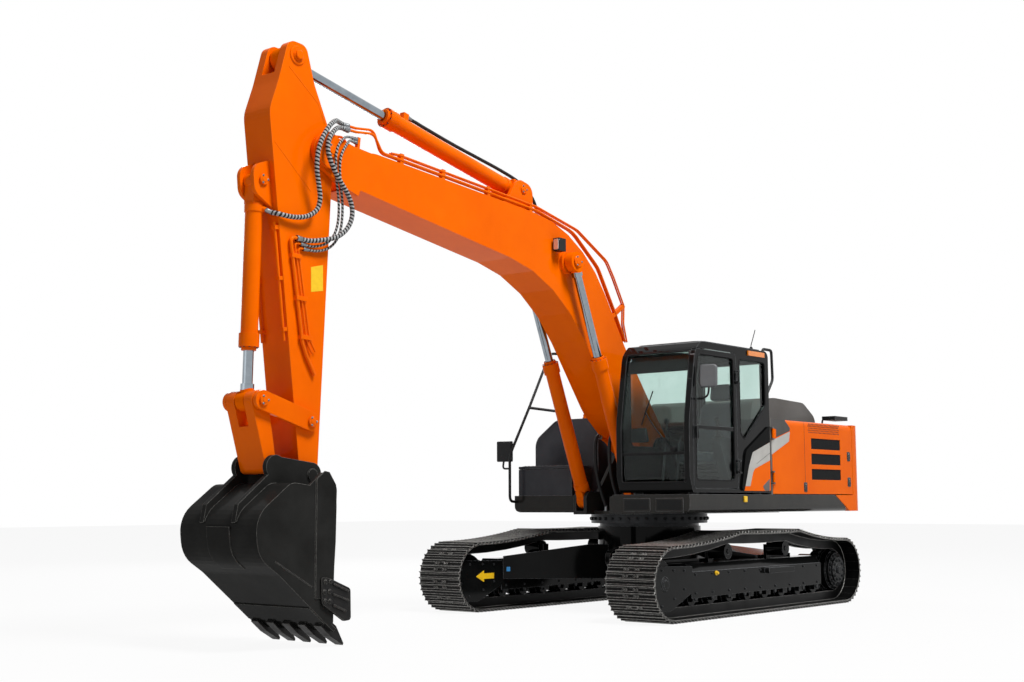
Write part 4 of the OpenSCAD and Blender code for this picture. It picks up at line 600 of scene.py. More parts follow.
door_y, panel_y = 1465, 1485
decal("silver_band_front", [(282, 1401), (195, 1624), (104, 1784), (-288, 1907), (-288, 1711), (-280, 1699),
                            (66, 1598), (105, 1560), (177, 1402)], panel_y, silver_film, "upper", "orange")
decal("silver_band_rear", [(-364, 1929), (-813, 2052), (-786, 1934), (-364, 1769)], door_y, silver_film,
      "radiator_door", "orange")
decal("silver_fold", [(20, 1655), (-284, 1781), (-284, 1787), (28, 1657)], 1486.4, grey_paint, "upper",
      "orange", 0.9)
decal("dark_corner", [(-364, 2184), (-690, 2184), (-818, 2091), (-808, 2058), (-364, 1944)], door_y,
      corner_paint, "radiator_door", "grey")
decal("grey_wedge", [(-112, 1404), (-269, 1490), (-262, 1352), (-150, 1352)], panel_y, grey_paint, "upper",
      "grey")
rows, cols = np.meshgrid(2060 + 25 * np.arange(5), -2075 + 34 * np.arange(24), indexing="ij")
cols = cols + np.where(np.arange(5)[:, None] % 2, 17, 0)
hole = lathe([(0, 0.4), (9, 0.4), (9, -1), (0, -1)], 10)
at = np.stack([cols.ravel(), 0 * cols.ravel() + door_y, rows.ravel()], 1)
piece("punched_holes", *copies(*hole, at, (0, 1, 0)), core_black, "radiator_door", "trim")


def fins(x0, x1, z0, z1, y, pitch, depth):
    """A folded sheet behind a slot: y is the face less depth times a triangle wave from 0 to 1 in x, with
    the given pitch; a flat back 6 mm deeper closes it."""
    x = np.linspace(x0, x1, int((x1 - x0) / pitch) * 2 + 1)
    z = np.linspace(z0, z1, 3)
    wave = depth * (np.arange(len(x)) % 2)
    grid = np.stack(np.broadcast_arrays(x[:, None], (y - wave)[:, None], z[None]), -1)
    back = grid.copy()
    back[..., 1] = y - depth - 6
    points = np.concatenate([grid, back[:, ::-1]], 1)
    k = points.shape[1]
    ends = [list(range(k)), list(range((len(x) - 1) * k, len(x) * k))[::-1]]
    return points.reshape(-1, 3), grid_faces(len(x), k, wrap_m=True).tolist() + ends


cores = [fins(-2118, -1335, z - 3, z + 133, 1460, 22, 6) for z in (1490, 1675, 1860)]
piece("radiator_fins", *together(*cores), core_black, "radiator_door", "trim")
for name, body, s, spots in (("left", "radiator_door", 1, [(-2330, 1790), (-2330, 1470), (-1170, 1400)]),
                             ("right", "pump_door", -1, [(-2330, 1790), (-2330, 1470)])):
    dish = [plate(rounded((-42, -58), (42, 58), 16), (x, s * door_y, z), (-s, 0, 0), (0, 0, 1), 5, 2)
            for x, z in spots]
    grip = [plate(rounded((-26, -40), (26, 8), 12), (x, s * (door_y + 5), z), (-s, 0, 0), (0, 0, 1), 9, 3)
            for x, z in spots]
    lock = lathe([(0, 5), (9, 5), (12, 2), (12, 0), (0, 0)], 14)
    lock = copies(*lock, [(x, s * (door_y + 5), z + 32) for x, z in spots], (0, s, 0))
    piece("latch_dishes_" + name, *together(*dish, *grip), deck_paint, body, "trim")
    piece("latch_locks_" + name, *lock, bolt_zinc, body, "trim")
decal("panel_crease", [(-1167, 1350), (-1167, 2180), (-1173, 2180), (-1173, 1350)], door_y, core_black,
      "radiator_door", "orange", 0.6)

# Walkways: pressed tread plates lie on the tank and on the tool box lid, with raised rings for grip.
# The turned orange cap of the fuel filler stands on the tank, ahead of its plate.
# Grey tread steel: matt paint worn to metal on the rings.
tread = finish("painted_tread_plate", "#3b3c3e", "#47484a", 120, (0.45, 0.65), 2.5, 0.3, 0.2, "#9a9b9c", 3)
ring = lathe([(9, 0), (10, 4), (14, 4), (16, 0)], 10)


def tread_plate(name, x0, x1, y0, y1, z, body, slot):
    """A plate 4 mm thick with rounded corners, and raised rings on it every 58 mm in staggered rows."""
    sheet = plate(rounded((x0, y0), (x1, y1), 20), (0, 0, z), (1, 0, 0), (0, 1, 0), 4, 1)
    gx, gy = np.meshgrid(np.arange(x0 + 35, x1 - 25, 58), np.arange(y0 + 35, y1 - 25, 58), indexing="ij")
    gx = gx + np.where(np.arange(gx.shape[1])[None] % 2, 12, 0)
    at = np.stack([gx.ravel(), gy.ravel(), 0 * gx.ravel() + z + 4], 1)
    return piece(name, *together(sheet, copies(*ring, at, (0, 0, 1))), tread, body, slot)


tread_plate("tread_on_tank", -1230, 200, -1110, -560, 2245, "upper", "frame")
tread_plate("tread_on_lid", 425, 720, -1370, -620, 1663, "tool_box_lid", "frame")
neck = lathe([(0, 62), (34, 62), (46, 56), (58, 50), (58, 18), (66, 14), (66, 0), (0, 0)], 24)
piece("fuel_cap", *copies(*neck, [(262, -700, 2245)], (0, 0, 1)), orange_paint, "upper", "orange")

# Handrails and mirrors: bent steel tube in black powder coat, on welded feet held by two bolts each.
# Black powder coat: satin with a fine pebble of 2 mm.
rail_coat = finish("black_powder_coat", "#161718", "#1f2022", 200, (0.38, 0.5), 2, 0.12, 0.0, "#505254", 3,
                   Specular_IOR_Level=0.18)
dress(rail_coat, "handrails", "mirrors")
foot = plate(rounded((-36, -36), (36, 36), 10), (0, 0, 0), (1, 0, 0), (0, 1, 0), 7, 2)
feet = [(-250, -1040, 2245), (300, -1000, 2245), (-450, 1340, 2190)]
walls = [f for f in foot[1] if len(f) == 4]
piece("rail_feet", *copies(np.asarray(foot[0]), walls, feet, (0, 0, 1)), rail_coat, "upper", "trim")
at = np.concatenate([np.asarray(feet) + (d, d, 7) for d in (-24, 24)])
bolts("rail_bolts", at, (0, 0, 1), 14, bolt_zinc, "upper", "trim")
# Silvered mirror glass: a smooth bright film of metal, which shows the room.
silver = finish("silvered_mirror_glass", "#c9cdd0", "#bfc4c7", 200, (0.03, 0.06), 40, 0.02, 1.0)
turn_in = math.radians(12)
back = np.array([-math.cos(turn_in), -math.sin(turn_in), 0])
over = np.array([math.sin(turn_in), -math.cos(turn_in), 0])
at = np.array([840, -1540, 1850]) + 30 * back
glass = plate(rounded((-84, -113), (84, 113), 18), at, over, (0, 0, 1), 2, 0.6)
piece("side_mirror_glass", *glass, silver, "upper", "glass")

# Cab: pressed and welded posts in gloss black under a blue-black roof, with tinted panes set in rubber.
# The door hangs at its rear edge. A wiper, a mirror on an arm, an aerial and an amber lamp are screwed on.
# Gloss black enamel: deep and smooth under a clear coat, with a faint dust film.
gloss_black = "#0a0b0b"
# Its pale edge tone is a painted highlight on the rounded posts.
cab_paint = finish("gloss_black_enamel", gloss_black, "#121314", 500, (0.2, 0.32), 3, 0.03, 0.0, "#9a9da0", 6,
                   Coat_Weight=1.0, Coat_IOR=1.2, Coat_Roughness=0.05, Specular_IOR_Level=0.0)
# Moulded black rubber: matt, with a grain of 2 mm.
rubber = finish("moulded_black_rubber", "#111112", "#19191a", 40, (0.55, 0.7), 2, 0.15,
                Specular_IOR_Level=0.15)
# Tinted safety glass: clear with a green cast, smooth, with wiped dust that dulls it in patches.
pane = finish("green_safety_glass", "#dfeeea", "#d6e6e1", 500, (0.0, 0.02), 60, 0.01, 0.0, None, 0,
              Transmission_Weight=1.0, IOR=1.22)
# Amber acrylic lens: strong colour, mottled over 10 mm by the pattern pressed into it.
amber = finish("amber_acrylic_lens", "#f08a12", "#d96f08", 10, (0.12, 0.2), 6, 0.2, Coat_Weight=0.6)
dress(cab_paint, "cab_shell", "cab_door")
# The roof takes the paler enamel, whose paleness is a painted sheen.
dress(tank_paint, "cab_roof")
dress(pane, "cab_glass", "cab_door_glass")
dress(amber, "lamps")
# Corner panel under the quarter window: orange enamel, masked and sprayed black at its top and front.
# The mask is two straight lines in x and z, each a way out and its distance in metres.
two_tone = finish("two_tone_enamel", *orange_tones, 800, (0.3, 0.42), 3, 0.04, 0.0, None, 5, Coat_Weight=0.6,
                  Coat_IOR=1.14, Coat_Roughness=0.12, Specular_IOR_Level=0.0)
t, b = two_tone.node_tree, two_tone.node_tree.nodes["Principled BSDF"]
place = add(t, "ShaderNodeTexCoord").outputs["Object"]
over = []
for way, far in (((0.2994, 0, 0.9541), 1.7333), ((0.9069, 0, 0.4215), 0.8463)):
    reach = add(t, "ShaderNodeVectorMath", {0: place}, {1: way}, operation="DOT_PRODUCT").outputs["Value"]
    over.append(add(t, "ShaderNodeMath", {0: reach}, {1: far}, operation="GREATER_THAN").outputs[0])
black = add(t, "ShaderNodeMath", {0: over[0], 1: over[1]}, operation="MAXIMUM").outputs[0]
orange = b.inputs["Base Color"].links[0].from_socket
masked = add(t, "ShaderNodeMix", {0: black, 6: orange}, {7: linear(gloss_black)}, data_type="RGBA").outputs[2]
t.links.new(masked, b.inputs["Base Color"])
dress(two_tone, "corner_panel")


def fillet(corners, steps=6):
    """A closed outline with its corners eased: each (x, y, r) becomes the curve
    (1-t)^2 a + 2t(1-t) v + t^2 b, where a and b lie r * tan(turn / 2) before and after the corner v."""
    q = np.asarray(corners, float)
    v, r = q[:, :2], q[:, 2:]
    back, on = np.roll(v, 1, 0) - v, np.roll(v, -1, 0) - v
    back /= np.linalg.norm(back, axis=1)[:, None]
    on /= np.linalg.norm(on, axis=1)[:, None]
    half = np.arccos(np.clip(-np.sum(back * on, 1), -1, 1))[:, None] / 2
    a, b = v + back * r * np.tan(half), v + on * r * np.tan(half)
    t = np.linspace(0, 1, steps)[None, :, None]
    return ((1 - t) ** 2 * a[:, None] + 2 * t * (1 - t) * v[:, None] + t ** 2 * b[:, None]).reshape(-1, 2)


def bead(outline, place, r, sides=8):
    """A round bead along a closed outline: place turns the outline into points and gives its face's way
    out, and a corner is point + r * (cos a * out + sin a * (out x along))."""
    line, out = place(outline)
    along = np.roll(line, -1, 0) - np.roll(line, 1, 0)
    along /= np.linalg.norm(along, axis=1)[:, None]
    over = np.cross(out, along)
    a = np.arange(sides) * 2 * np.pi / sides
    grid = line[:, None] + r * (np.cos(a)[None, :, None] * out + np.sin(a)[None, :, None] * over[:, None])
    return grid.reshape(-1, 3), grid_faces(len(line), sides, wrap_n=True, wrap_m=True)


def on_left(outline):
    """The outline's (x, z) on the cab's left face, at y = 1461, which faces along +Y."""
    return np.stack([outline[:, 0], 0 * outline[:, 0] + 1461, outline[:, 1]], 1), np.array([0.0, 1, 0])


def on_front(outline):
    """The outline's (y, z) on the cab's front, which faces along +X: x is 1392, less 0.1731 for each
    millimetre above z = 2070, where the windscreen leans back."""
    x = 1392 - 0.1731 * np.maximum(outline[:, 1] - 2070, 0)
    return np.stack([x, outline[:, 0], outline[:, 1]], 1), np.array([1.0, 0, 0])


door_pane = fillet([(460, 1460, 60), (1265, 1460, 60), (1260, 2450, 400), (1200, 2825, 60), (460, 2825, 60)])
piece("door_seal", *bead(door_pane, on_left, 9), rubber, "cab_door", "trim")
quarter = fillet([(330, 2830, 40), (-250, 2830, 60), (-250, 2330, 60), (250, 1910, 60), (330, 2000, 60)])
piece("quarter_seal", *bead(quarter, on_left, 9), rubber, "upper", "trim")
opening = fillet([(585, 1440, 40), (1400, 1440, 40), (1400, 2850, 40), (585, 2850, 40)])
z = np.linspace(0, 1, 9)[:-1, None]
opening = (opening[:, None] + z[None] * (np.roll(opening, -1, 0) - opening)[:, None]).reshape(-1, 2)
split = plate(rounded((590, -15), (1395, 15), 6), (1378, 0, 1748), (0, 1, 0), (0, 0, 1), 12, 3)
piece("front_seal", *together(bead(opening, on_front, 8), split), rubber, "upper", "trim")
wiper_line = curve([(1388, 1250, 1790), (1402, 1200, 1830), (1402, 1090, 1960), (1396, 980, 2090),
                    (1378, 900, 2200)], 20)
blade_line = curve([(1390, 850, 2060), (1380, 890, 2180), (1360, 930, 2300), (1338, 970, 2430)], 16)
blade = sweep(blade_line, circle(7, 6), (1, 0, 0.2))
arm_bar = sweep(wiper_line, circle(8, 6), (1, 0, 0.2))
motor = copies(*lathe([(0, 34), (24, 34), (30, 28), (34, 0), (0, 0)], 18), [(1380, 1255, 1785)], (1, 0, 0))
piece("wiper", *together(arm_bar, blade, motor), rubber, "upper", "trim")
holder = sweep(curve([(1218, 1462, 2330), (1218, 1540, 2335), (1214, 1590, 2370), (1206, 1600, 2450)], 16),
               circle(11, 10), (1, 0, 0.2))
face_on = np.array([-0.95, -0.3, -0.08])
face_on /= np.linalg.norm(face_on)
over = np.cross((0, 0, 1.0), face_on)
over /= np.linalg.norm(over)
upward = np.cross(face_on, over)
mirror_at = np.array([1200, 1592, 2570])
shell = plate(rounded((-98, -126), (98, 126), 40), mirror_at - 22 * face_on, over, upward, 44, 14)
piece("cab_mirror_arm", *holder, rail_coat, "upper", "trim")
# Grey moulded housing of the mirror: matt, with a grain of 2 mm.
abs_grey = finish("moulded_grey_abs", "#595b5d", "#505254", 120, (0.4, 0.55), 2, 0.15)
piece("cab_mirror", *shell, abs_grey, "upper", "trim")
glass = plate(rounded((-86, -114), (86, 114), 32), mirror_at + 21 * face_on, over, upward, 3, 1)
piece("cab_mirror_glass", *glass, silver, "upper", "glass")
aerial = sweep(curve([(-237, 1300, 2972), (-237, 1300, 3040), (-270, 1300, 3100), (-339, 1300, 3230)], 16),
               circle(5, 6), (0, 1, 0))
root = copies(*lathe([(0, 46), (12, 46), (20, 30), (26, 4), (26, 0), (0, 0)], 16), [(-237, 1300, 2976)],
              (0, 0, 1))
piece("aerial", *together(aerial, root), rubber, "upper", "trim")
hatch = plate(rounded((-200, 640), (980, 1345), 70), (0, 0, 2976), (1, 0, 0), (0, 1, 0), 10, 5)
ribs = [plate(rounded((-150, y - 12), (930, y + 12), 10), (0, 0, 2984), (1, 0, 0), (0, 1, 0), 8, 4)
        for y in (760, 880, 1000, 1120, 1240)]
piece("roof_ribs", *together(hatch, *ribs), cab_paint, "upper", "grey")
for name, wide, high, corner, x, depth, ease, mat in (
        ("step_box_frames", 178, 72, 14, 1411, 8, 3, deck_paint),
        ("step_box_mesh", 156, 52, 10, 1416, 4, 1, core_black)):
    boxes = [plate(rounded((y - wide, -high), (y + wide, high), corner), (x, 0, 1200), (0, 1, 0), (0, 0, 1),
                   depth, ease) for y in (790, 1210)]
    piece(name, *together(*boxes), mat, "upper", "frame")

# Driver's place: a sprung seat in woven cloth between two consoles with levers, pedals ahead and a monitor.
# The seat is foam under a sewn cover, on a scissor base behind a rubber bellows.
# Moulded ABS: dark grey with a leather-like grain of 2 mm.
abs_black = finish("moulded_grained_abs", "#1f2123", "#282a2c", 90, (0.45, 0.6), 2, 0.25,
                   Specular_IOR_Level=0.2)
dress(abs_black, "consoles")
# Woven seat cloth: dark blue-grey threads; the weave is drawn at 7 mm, coarser than real, so that it shows.
cloth, t, b = material("woven_seat_cloth", "#2d333b", 0.85, Sheen_Weight=0.3)
place = add(t, "ShaderNodeTexCoord").outputs["Object"]
warp = add(t, "ShaderNodeTexWave", {"Vector": place}, bands_direction="Y", Scale=1000 / 7 / 6.283,
           Distortion=1.0)
weft = add(t, "ShaderNodeTexWave", {"Vector": place}, bands_direction="DIAGONAL", Scale=1000 / 7 / 6.283,
           Distortion=1.0)
weave = add(t, "ShaderNodeMath", {0: warp.outputs["Fac"], 1: weft.outputs["Fac"]},
            operation="MULTIPLY").outputs[0]
tone = add(t, "ShaderNodeMix", {0: weave}, {6: linear("#23282f"), 7: linear("#414952")},
           data_type="RGBA").outputs[2]
relief = add(t, "ShaderNodeBump", {"Height": weave}, Strength=0.3, Distance=0.001)
t.links.new(tone, b.inputs["Base Color"])
t.links.new(relief.outputs[0], b.inputs["Normal"])


def signed_power(c, e):
    """The power e of a number's size, with its sign: sign(c) * |c|^e."""
    return np.sign(c) * np.abs(c) ** e


def pad(center, half, lean, crown, channels):
    """A stuffed pad: a rounded block, half * (|cos u|^0.4 |cos v|^0.35, |cos u|^0.4 |sin v|^0.35,
    |sin u|^0.4) with signs, raised by crown * (1 - x^2)(1 - y^2) on top, drawn in by 3 % between its
    corners, and sunk by a bell curve 9 mm deep and 12 mm wide at each sewn channel along it; then leaned
    back round Y."""
    u, v = np.meshgrid(np.linspace(-np.pi / 2, np.pi / 2, 40), np.linspace(-np.pi, np.pi, 97)[:-1],
                       indexing="ij")
    q = np.stack([signed_power(np.cos(u), 0.4) * signed_power(np.cos(v), 0.35),
                  signed_power(np.cos(u), 0.4) * signed_power(np.sin(v), 0.35),
                  signed_power(np.sin(u), 0.4)], -1)
    swell = (1 - q[..., 0] ** 2) * (1 - q[..., 1] ** 2)
    half = np.asarray(half, float)
    p = q * half
    p[..., 0] *= 1 - 0.03 * (1 - q[..., 1] ** 2)
    p[..., 1] *= 1 - 0.03 * (1 - q[..., 0] ** 2)
    p[..., 2] += np.where(q[..., 2] > 0, crown * swell, 0)
    for c in channels:
        p[..., 2] -= np.where(q[..., 2] > 0, 9 * np.exp(-((p[..., 1] - c) / 12) ** 2), 0)
    s, c = math.sin(lean), math.cos(lean)
    turned = np.stack([p[..., 0] * c - p[..., 2] * s, p[..., 1], p[..., 0] * s + p[..., 2] * c], -1)
    return turned.reshape(-1, 3) + np.asarray(center, float), grid_faces(40, 96, wrap_m=True)


cushion = piece("seat_cushion", *pad((360, 992, 1706), (268, 246, 62), 0.08, 20, (-120, 120)), cloth, "upper",
                "seat", 80)
rest = piece("seat_back", *pad((46, 992, 2060), (320, 240, 56), 1.78, 18, (-115, 115)), cloth, "upper",
             "seat", 80)
head = piece("seat_headrest", *pad((-62, 992, 2490), (98, 138, 46), 1.74, 10, ()), cloth, "upper", "seat", 80)
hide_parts("seat")
folds = 17
ring = rounded((-1, -1), (1, 1), 0.25, 4)
size = np.stack([210 - 14 * (np.arange(folds) % 2), 214 - 14 * (np.arange(folds) % 2)], 1)
level = (1385 + 260 * np.linspace(0, 1, folds))[:, None, None]
rows = np.concatenate([ring[None] * size[:, None] + (345, 992),
                       np.broadcast_to(level, (folds, len(ring), 1))], -1)
ends = [list(range(len(ring)))[::-1], list(range((folds - 1) * len(ring), folds * len(ring)))]
faces = grid_faces(folds, len(ring), wrap_m=True).tolist() + ends
piece("seat_bellows", rows.reshape(-1, 3), faces, rubber, "upper", "seat")
boot = lathe([(0, 74), (20, 74), (26, 62), (22, 56), (34, 44), (30, 38), (44, 22), (40, 16), (54, 0), (0, 0)],
             20)
piece("lever_boots", *copies(*boot, [(572, 662, 1932), (572, 1322, 1932)], (0.14, 0, 1)), rubber, "upper",
      "trim")
screen = plate(rounded((-120, -80), (120, 80), 18), (1150, 640, 1960), (0, -0.94, 0.0), (0.3, 0, 0.95), 40, 8)
piece("monitor", *screen, abs_black, "upper", "trim")
shade = plate(rounded((600, -95), (1385, 95), 20), (1246, 0, 2730), (0, 1, 0), (-0.17, 0, 0.985), 6, 2)
piece("sun_visor", *shade, rubber, "upper", "trim")

# Tool box seal: a rubber strip glued on the rim of the box, which the lid presses down when it is shut.
# It is a flat ring of 22 mm by 7 mm between two rounded rectangles.
outer = rounded((341, -1397), (742, -593), 14)
inner = rounded((363, -1375), (720, -615), 8)
base_z, top_z = 1625, 1632
rows = [np.insert(np.asarray(loop, float), 2, z, 1)
        for loop, z in ((outer, base_z), (outer, top_z), (inner, top_z), (inner, base_z), (outer, base_z))]
faces = grid_faces(5, len(rows[0]), wrap_m=True)
piece("tool_box_seal", np.stack(rows).reshape(-1, 3), faces, rubber, "upper", "trim")

# Boom and arm: welded box beams in orange enamel; a cap with three bolts holds each pin in its cast boss.
# Steel pipes run along them in clamps, a work lamp is on the left side, and a blank yellow plate on the arm.
cap_shape = lathe([(0, 16), (34, 16), (42, 10), (62, 10), (68, 4), (68, 0), (0, 0)], 28)
for name, body, x, z, y in (("boom_foot", "upper", 80, 1820, 315),
                            ("arm", "boom", 5486, 4422, 280),
                            ("boom_cylinder", "boom_rods", 1909, 3854, 400),
                            ("arm_cylinder", "boom", 2557, 4582, 160),
                            ("bucket_cylinder", "arm", 6151, 4059, 125),
                            ("link_root", "side_links", 5640, 1948, 234),
                            ("link_top", "side_links", 6200, 2110, 234)):
    scale = 1.0 if y > 250 else 0.72
    shape = cap_shape[0] * (scale, scale, 1), cap_shape[1]
    both = [(x, y, z), (x, -y, z)]
    piece(name + "_pin_caps", *copies(*shape, both, both_ways), orange_paint, body, "orange")
    at = np.concatenate([ring_places((x, s * (y + 10), z), (0, s, 0), 52 * scale, 3, 0.5) for s in (1, -1)])
    ways = np.repeat(both_ways, 3, 0)
    bolts(name + "_pin_bolts", at, ways, 16, bolt_zinc, body, "orange")
# Glass lens of the work lamp: clear, over a bright dish, in a black housing.
lens_clear = finish("clear_pressed_glass", "#dde3e6", "#c3cbd0", 14, (0.08, 0.16), 8, 0.25, 0.55,
                    Coat_Weight=0.8)
dress(rail_coat, "boom_lamp")
lens = plate(rounded((-34, -58), (34, 58), 14), (2171, 297, 4019), (0, 1, 0), (0, 0, 1), 7, 3)
piece("work_lamp_lens", *lens, lens_clear, "boom", "glass")
rim = plate(rounded((-41, -66), (41, 66), 18), (2168, 297, 4019), (0, 1, 0), (0, 0, 1), 6, 2)
piece("work_lamp_rim", *rim, rubber, "boom", "trim")
decal("arm_plate", [(5634, 3338), (5488, 3375), (5484, 3138), (5630, 3112)], 175, vinyl_yellow, "arm",
      "orange")


def weld(line, out, r=7):
    """A weld bead: a low half round along a line, r to each side and r / 2 high, which swells and shrinks
    by 12 % at every 9 mm of its length."""
    line = np.asarray(line, float)
    steps = np.linalg.norm(np.diff(line, axis=0), axis=1)
    s = np.concatenate([[0], np.cumsum(steps)])
    even = np.arange(0, s[-1], 9)
    line = np.stack([np.interp(even, s, c) for c in line.T], 1)
    along = np.gradient(line, axis=0)
    along /= np.linalg.norm(along, axis=1)[:, None]
    out = np.asarray(out, float)
    over = np.cross(along, out)
    a = np.linspace(0, np.pi, 6)
    rad = r * (1 + 0.12 * np.where(np.arange(len(even)) % 2, 1, -1))[:, None]
    rim = rad * np.sin(a)
    grid = line[:, None] + (rad * np.cos(a))[..., None] * over[:, None] + (rim * 0.5)[..., None] * out
    return grid.reshape(-1, 3), grid_faces(len(even), 6, wrap_m=True)


# Seams of the arm's side plates and the boss of the pin at its top, which takes the arm cylinder's rod.
for name, s in (("left", 1), ("right", -1)):
    seams = [weld([(x, s * 175, z) for x, z in line], (0, s, 0), 6)
             for line in ([(6079, 4406), (5642, 4028)], [(5930, 5130), (5568, 4860), (5480, 4680)])]
    piece("arm_seams_" + name, *together(*seams), orange_paint, "arm", "orange")
boss = lathe([(0, 44), (36, 44), (44, 38), (44, 22), (58, 22), (58, 12), (84, 12), (92, 4), (92, 0), (0, 0)],
             32)
piece("arm_top_boss", *copies(*boss, [(5829, 175, 5249), (5829, -175, 5249)], both_ways), orange_paint,
      "arm", "orange")

# Cylinders: tubes in orange enamel, with rods that are ground, hard chromed and polished, and painted eyes.
# A ring of bolts holds each gland, where the rod comes out of its tube.


def rod_finish(name, x, z, r):
    """Chrome along the rod, and orange enamel where sqrt((px - x)^2 + (pz - z)^2), the way in millimetres
    from its pin at (x, z), is at most r."""
    # Hard chrome: mirror-bright, with a faint haze of oil; the eye is sprayed with the rest of the machine.
    m = finish(name, "#99a1a8", "#838b92", 120, (0.06, 0.14), 6, 0.02, 1.0, None, 0, Specular_IOR_Level=0.0)
    t, b = m.node_tree, m.node_tree.nodes["Principled BSDF"]
    place = add(t, "ShaderNodeTexCoord").outputs["Object"]
    off = add(t, "ShaderNodeVectorMath", {0: place}, {1: (x / 1000, 0, z / 1000)},
              operation="SUBTRACT").outputs[0]
    off = add(t, "ShaderNodeVectorMath", {0: off}, {1: (1, 0, 1)}, operation="MULTIPLY").outputs[0]
    far = add(t, "ShaderNodeVectorMath", {0: off}, operation="LENGTH").outputs["Value"]
    bare = add(t, "ShaderNodeMath", {0: far}, {1: r / 1000}, operation="GREATER_THAN").outputs[0]
    metal = b.inputs["Base Color"].links[0].from_socket
    shine = b.inputs["Roughness"].links[0].from_socket
    color = add(t, "ShaderNodeMix", {0: bare, 7: metal}, {6: linear(orange_tones[0])},
                data_type="RGBA").outputs[2]
    t.links.new(color, b.inputs["Base Color"])
    t.links.new(bare, b.inputs["Metallic"])
    t.links.new(add(t, "ShaderNodeMix", {0: bare, 3: shine}, {2: 0.4}).outputs[0], b.inputs["Roughness"])
    return m


dress(rod_finish("chromed_boom_rod", 1909, 3854, 125), "boom_rods")
dress(rod_finish("chromed_arm_rod", 5829, 5249, 125), "arm_rod")
dress(rod_finish("chromed_bucket_rod", 6200, 2110, 110), "bucket_rod")
for name, body, foot, head, sides, r, l, bore in (
        ("boom", "boom_barrels", (830, 1260), (1909, 3854), (340, -340), 80, 1680, 61.5),
        ("arm", "arm_barrel", (2557, 4582.5), (5828.6, 5249), (0,), 88, 2010, 48),
        ("bucket", "bucket_barrel", (6151, 4059), (6200, 2110), (0,), 76, 1480, 48)):
    way = np.array([head[0] - foot[0], 0, head[1] - foot[1]], float)
    way /= np.linalg.norm(way)
    ends = [np.array([foot[0], y, foot[1]]) + way * l for y in sides]
    ring = lathe([(bore, 30), (r - 14, 30), (r - 10, 26), (r - 10, 0), (bore, 0)], 32)
    piece(name + "_glands", *copies(*ring, [tuple(p) for p in ends], tuple(way)), orange_paint, body,
          "orange")
    at = np.concatenate([ring_places(tuple(p), tuple(way), r + 1, 10, 0.0) for p in ends])
    bolts(name + "_gland_bolts", at, np.repeat([way], len(at), 0), 12, bolt_black, body, "orange")

# Hose ends: a zinc-plated sleeve is pressed on each end of each hose, and its nut holds it to a pipe or port.
# Each sleeve rides on the body that its end is screwed to.


def sleeve(r, nut):
    """A pressed sleeve and its nut: a stepped profile, 62 mm long, turned round a hose of radius r; the nut
    stands out by nut from it, and the sleeve by half of that."""
    return lathe([(r + 0.5, 62), (r + nut / 2, 59), (r + nut / 2, 24), (r + nut, 22), (r + nut, 2),
                  (r + nut * 0.75, 0), (r - 3, 0)], 18)


for name, route, r, nut, bodies in (("arm_hose_1", loop_1, 22, 2.2, ("boom", "bucket_barrel")),
                                    ("arm_hose_2", loop_2, 22, 8, ("boom", "arm")),
                                    ("arm_hose_3", loop_3, 12, 8, ("boom", "arm")),
                                    ("arm_hose_4", loop_4, 12, 8, ("boom", "arm")),
                                    ("barrel_hose", on_barrel, 18, 8, ("arm_barrel", "boom")),
                                    ("foot_hose_l", foot_left, 20, 8, ("upper", "boom")),
                                    ("foot_hose_r", foot_right, 20, 8, ("upper", "boom"))):
    line = np.asarray(route, float)
    for body, a, b in ((bodies[0], line[0], line[1]), (bodies[1], line[-1], line[-2])):
        way = (b - a) / np.linalg.norm(b - a)
        piece(name + "_end_" + body, *copies(*sleeve(r, nut), [tuple(a)], tuple(way)), bolt_zinc, body,
              "hose")

# Bucket: rolled and welded plate in black enamel, worn along its edges, with cast teeth on the lip.
# Bolted side cutters stand at the front corners, and weld beads run where the plates meet.
# Worn black enamel: rough, scuffed to grey steel along edges, with a drift of dust.
bucket_paint = finish("worn_black_enamel", "#1f1f1e", "#2a2a29", 380, (0.3, 0.5), 5, 0.22, 0.0, "#a09e99", 7,
                      Coat_Weight=0.3, Coat_IOR=1.15, Coat_Roughness=0.15, Specular_IOR_Level=0.0)
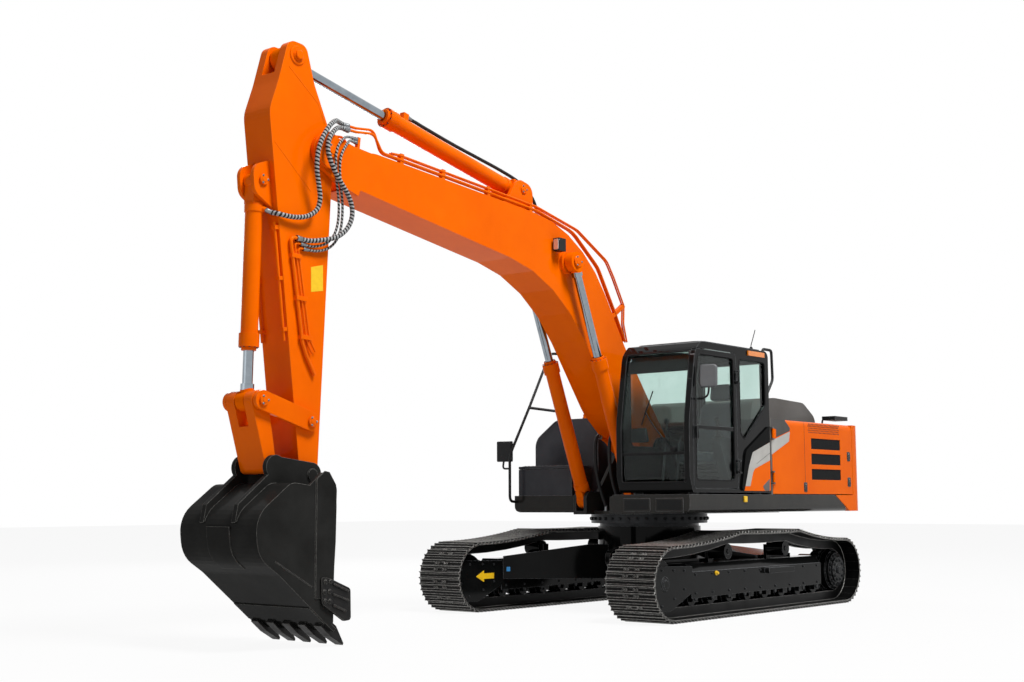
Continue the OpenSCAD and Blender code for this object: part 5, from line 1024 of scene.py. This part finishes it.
# Cast tooth steel: dark and sandy, rubbed bright on corners.
tooth_steel = finish("cast_tooth_steel", "#19191a", "#272625", 90, (0.4, 0.6), 5, 0.35, 0.5, "#8d8a85", 6,
                     Specular_IOR_Level=0.2)
dress(bucket_paint, "bucket")
dress(tooth_steel, "bucket_teeth")
for name, s in (("left", 1), ("right", -1)):
    decal("side_edge_plate_" + name, [(5835, 1440), (5745, 1506), (5690, 1498), (5610, 1388), (5602, 1200),
                                      (5608, 900), (5626, 620), (5632, 420), (5838, 420)], s * 500,
          bucket_paint, "bucket", "bucket", 9)
    seams = [weld([(x, s * 500, z) for x, z in line], (0, s, 0), 7)
             for line in ([(5838, 1432), (5841, 420)], [(6291, 751), (5866, 518)])]
    piece("side_seams_" + name, *together(*seams), bucket_paint, "bucket", "bucket")
    spots = [(x, s * 526, z) for x, z in ((5742, 562), (5684, 560), (5752, 477), (5693, 478), (5744, 398),
                                          (5692, 394))]
    bolts("cutter_bolts_" + name, spots, (0, s, 0), 34, tooth_steel, "bucket", "bucket")
    bars = []
    for x0, z0, x1, z1 in ((5657, 540, 5470, 468), (5655, 451, 5470, 391), (5654, 360, 5500, 300)):
        length = math.hypot(x1 - x0, z1 - z0)
        along = np.array([x1 - x0, 0, z1 - z0]) / length
        bar = rounded((-length / 2, -11), (length / 2, 11), 9)
        middle = ((x0 + x1) / 2, s * 524, (z0 + z1) / 2)
        bars.append(plate(bar, middle, along, np.cross((0, s, 0), along), 20, 7))
    piece("cutter_ribs_" + name, *together(*bars), tooth_steel, "bucket", "bucket")


def shell_strip(y0, y1, corners, rise):
    """A strip on the rolled shell: the eased line through its corners, given in the bucket's own u and v
    from its pin, is turned to x = 5640.9 - 0.1219 u + 0.9925 v and z = 1476 - 0.9925 u - 0.1219 v, and
    stands rise outside it."""
    line = fillet(corners, 10)
    line = line[np.append(True, np.linalg.norm(np.diff(line, axis=0), axis=1) > 0.1)]
    way = np.gradient(line, axis=0)
    way /= np.linalg.norm(way, axis=1)[:, None]
    out = np.stack([way[:, 1], -way[:, 0]], 1)
    rings = np.stack([line - 2 * out, line + (rise - 3) * out, line + rise * out, line + rise * out,
                      line + (rise - 3) * out, line - 2 * out], 1)
    x = 5640.9 - 0.1219 * rings[..., 0] + 0.9925 * rings[..., 1]
    z = 1476 - 0.9925 * rings[..., 0] - 0.1219 * rings[..., 1]
    y = np.broadcast_to(np.array([y0, y0, y0 + 4, y1 - 4, y1, y1], float), x.shape)
    k = len(line)
    ends = [list(range(6)), list(range((k - 1) * 6, k * 6))[::-1]]
    return np.stack([x, y, z], -1).reshape(-1, 3), grid_faces(k, 6, wrap_m=True).tolist() + ends


strips = [shell_strip(-136, 166, [(700, 772, 0), (590, 905, 260), (330, 905, 0)], 8),
          shell_strip(-494, 494, [(1248, 227, 0), (1168, 304, 0), (1088, 382, 0)], 9)]
piece("shell_strips", *together(*strips), bucket_paint, "bucket", "bucket")
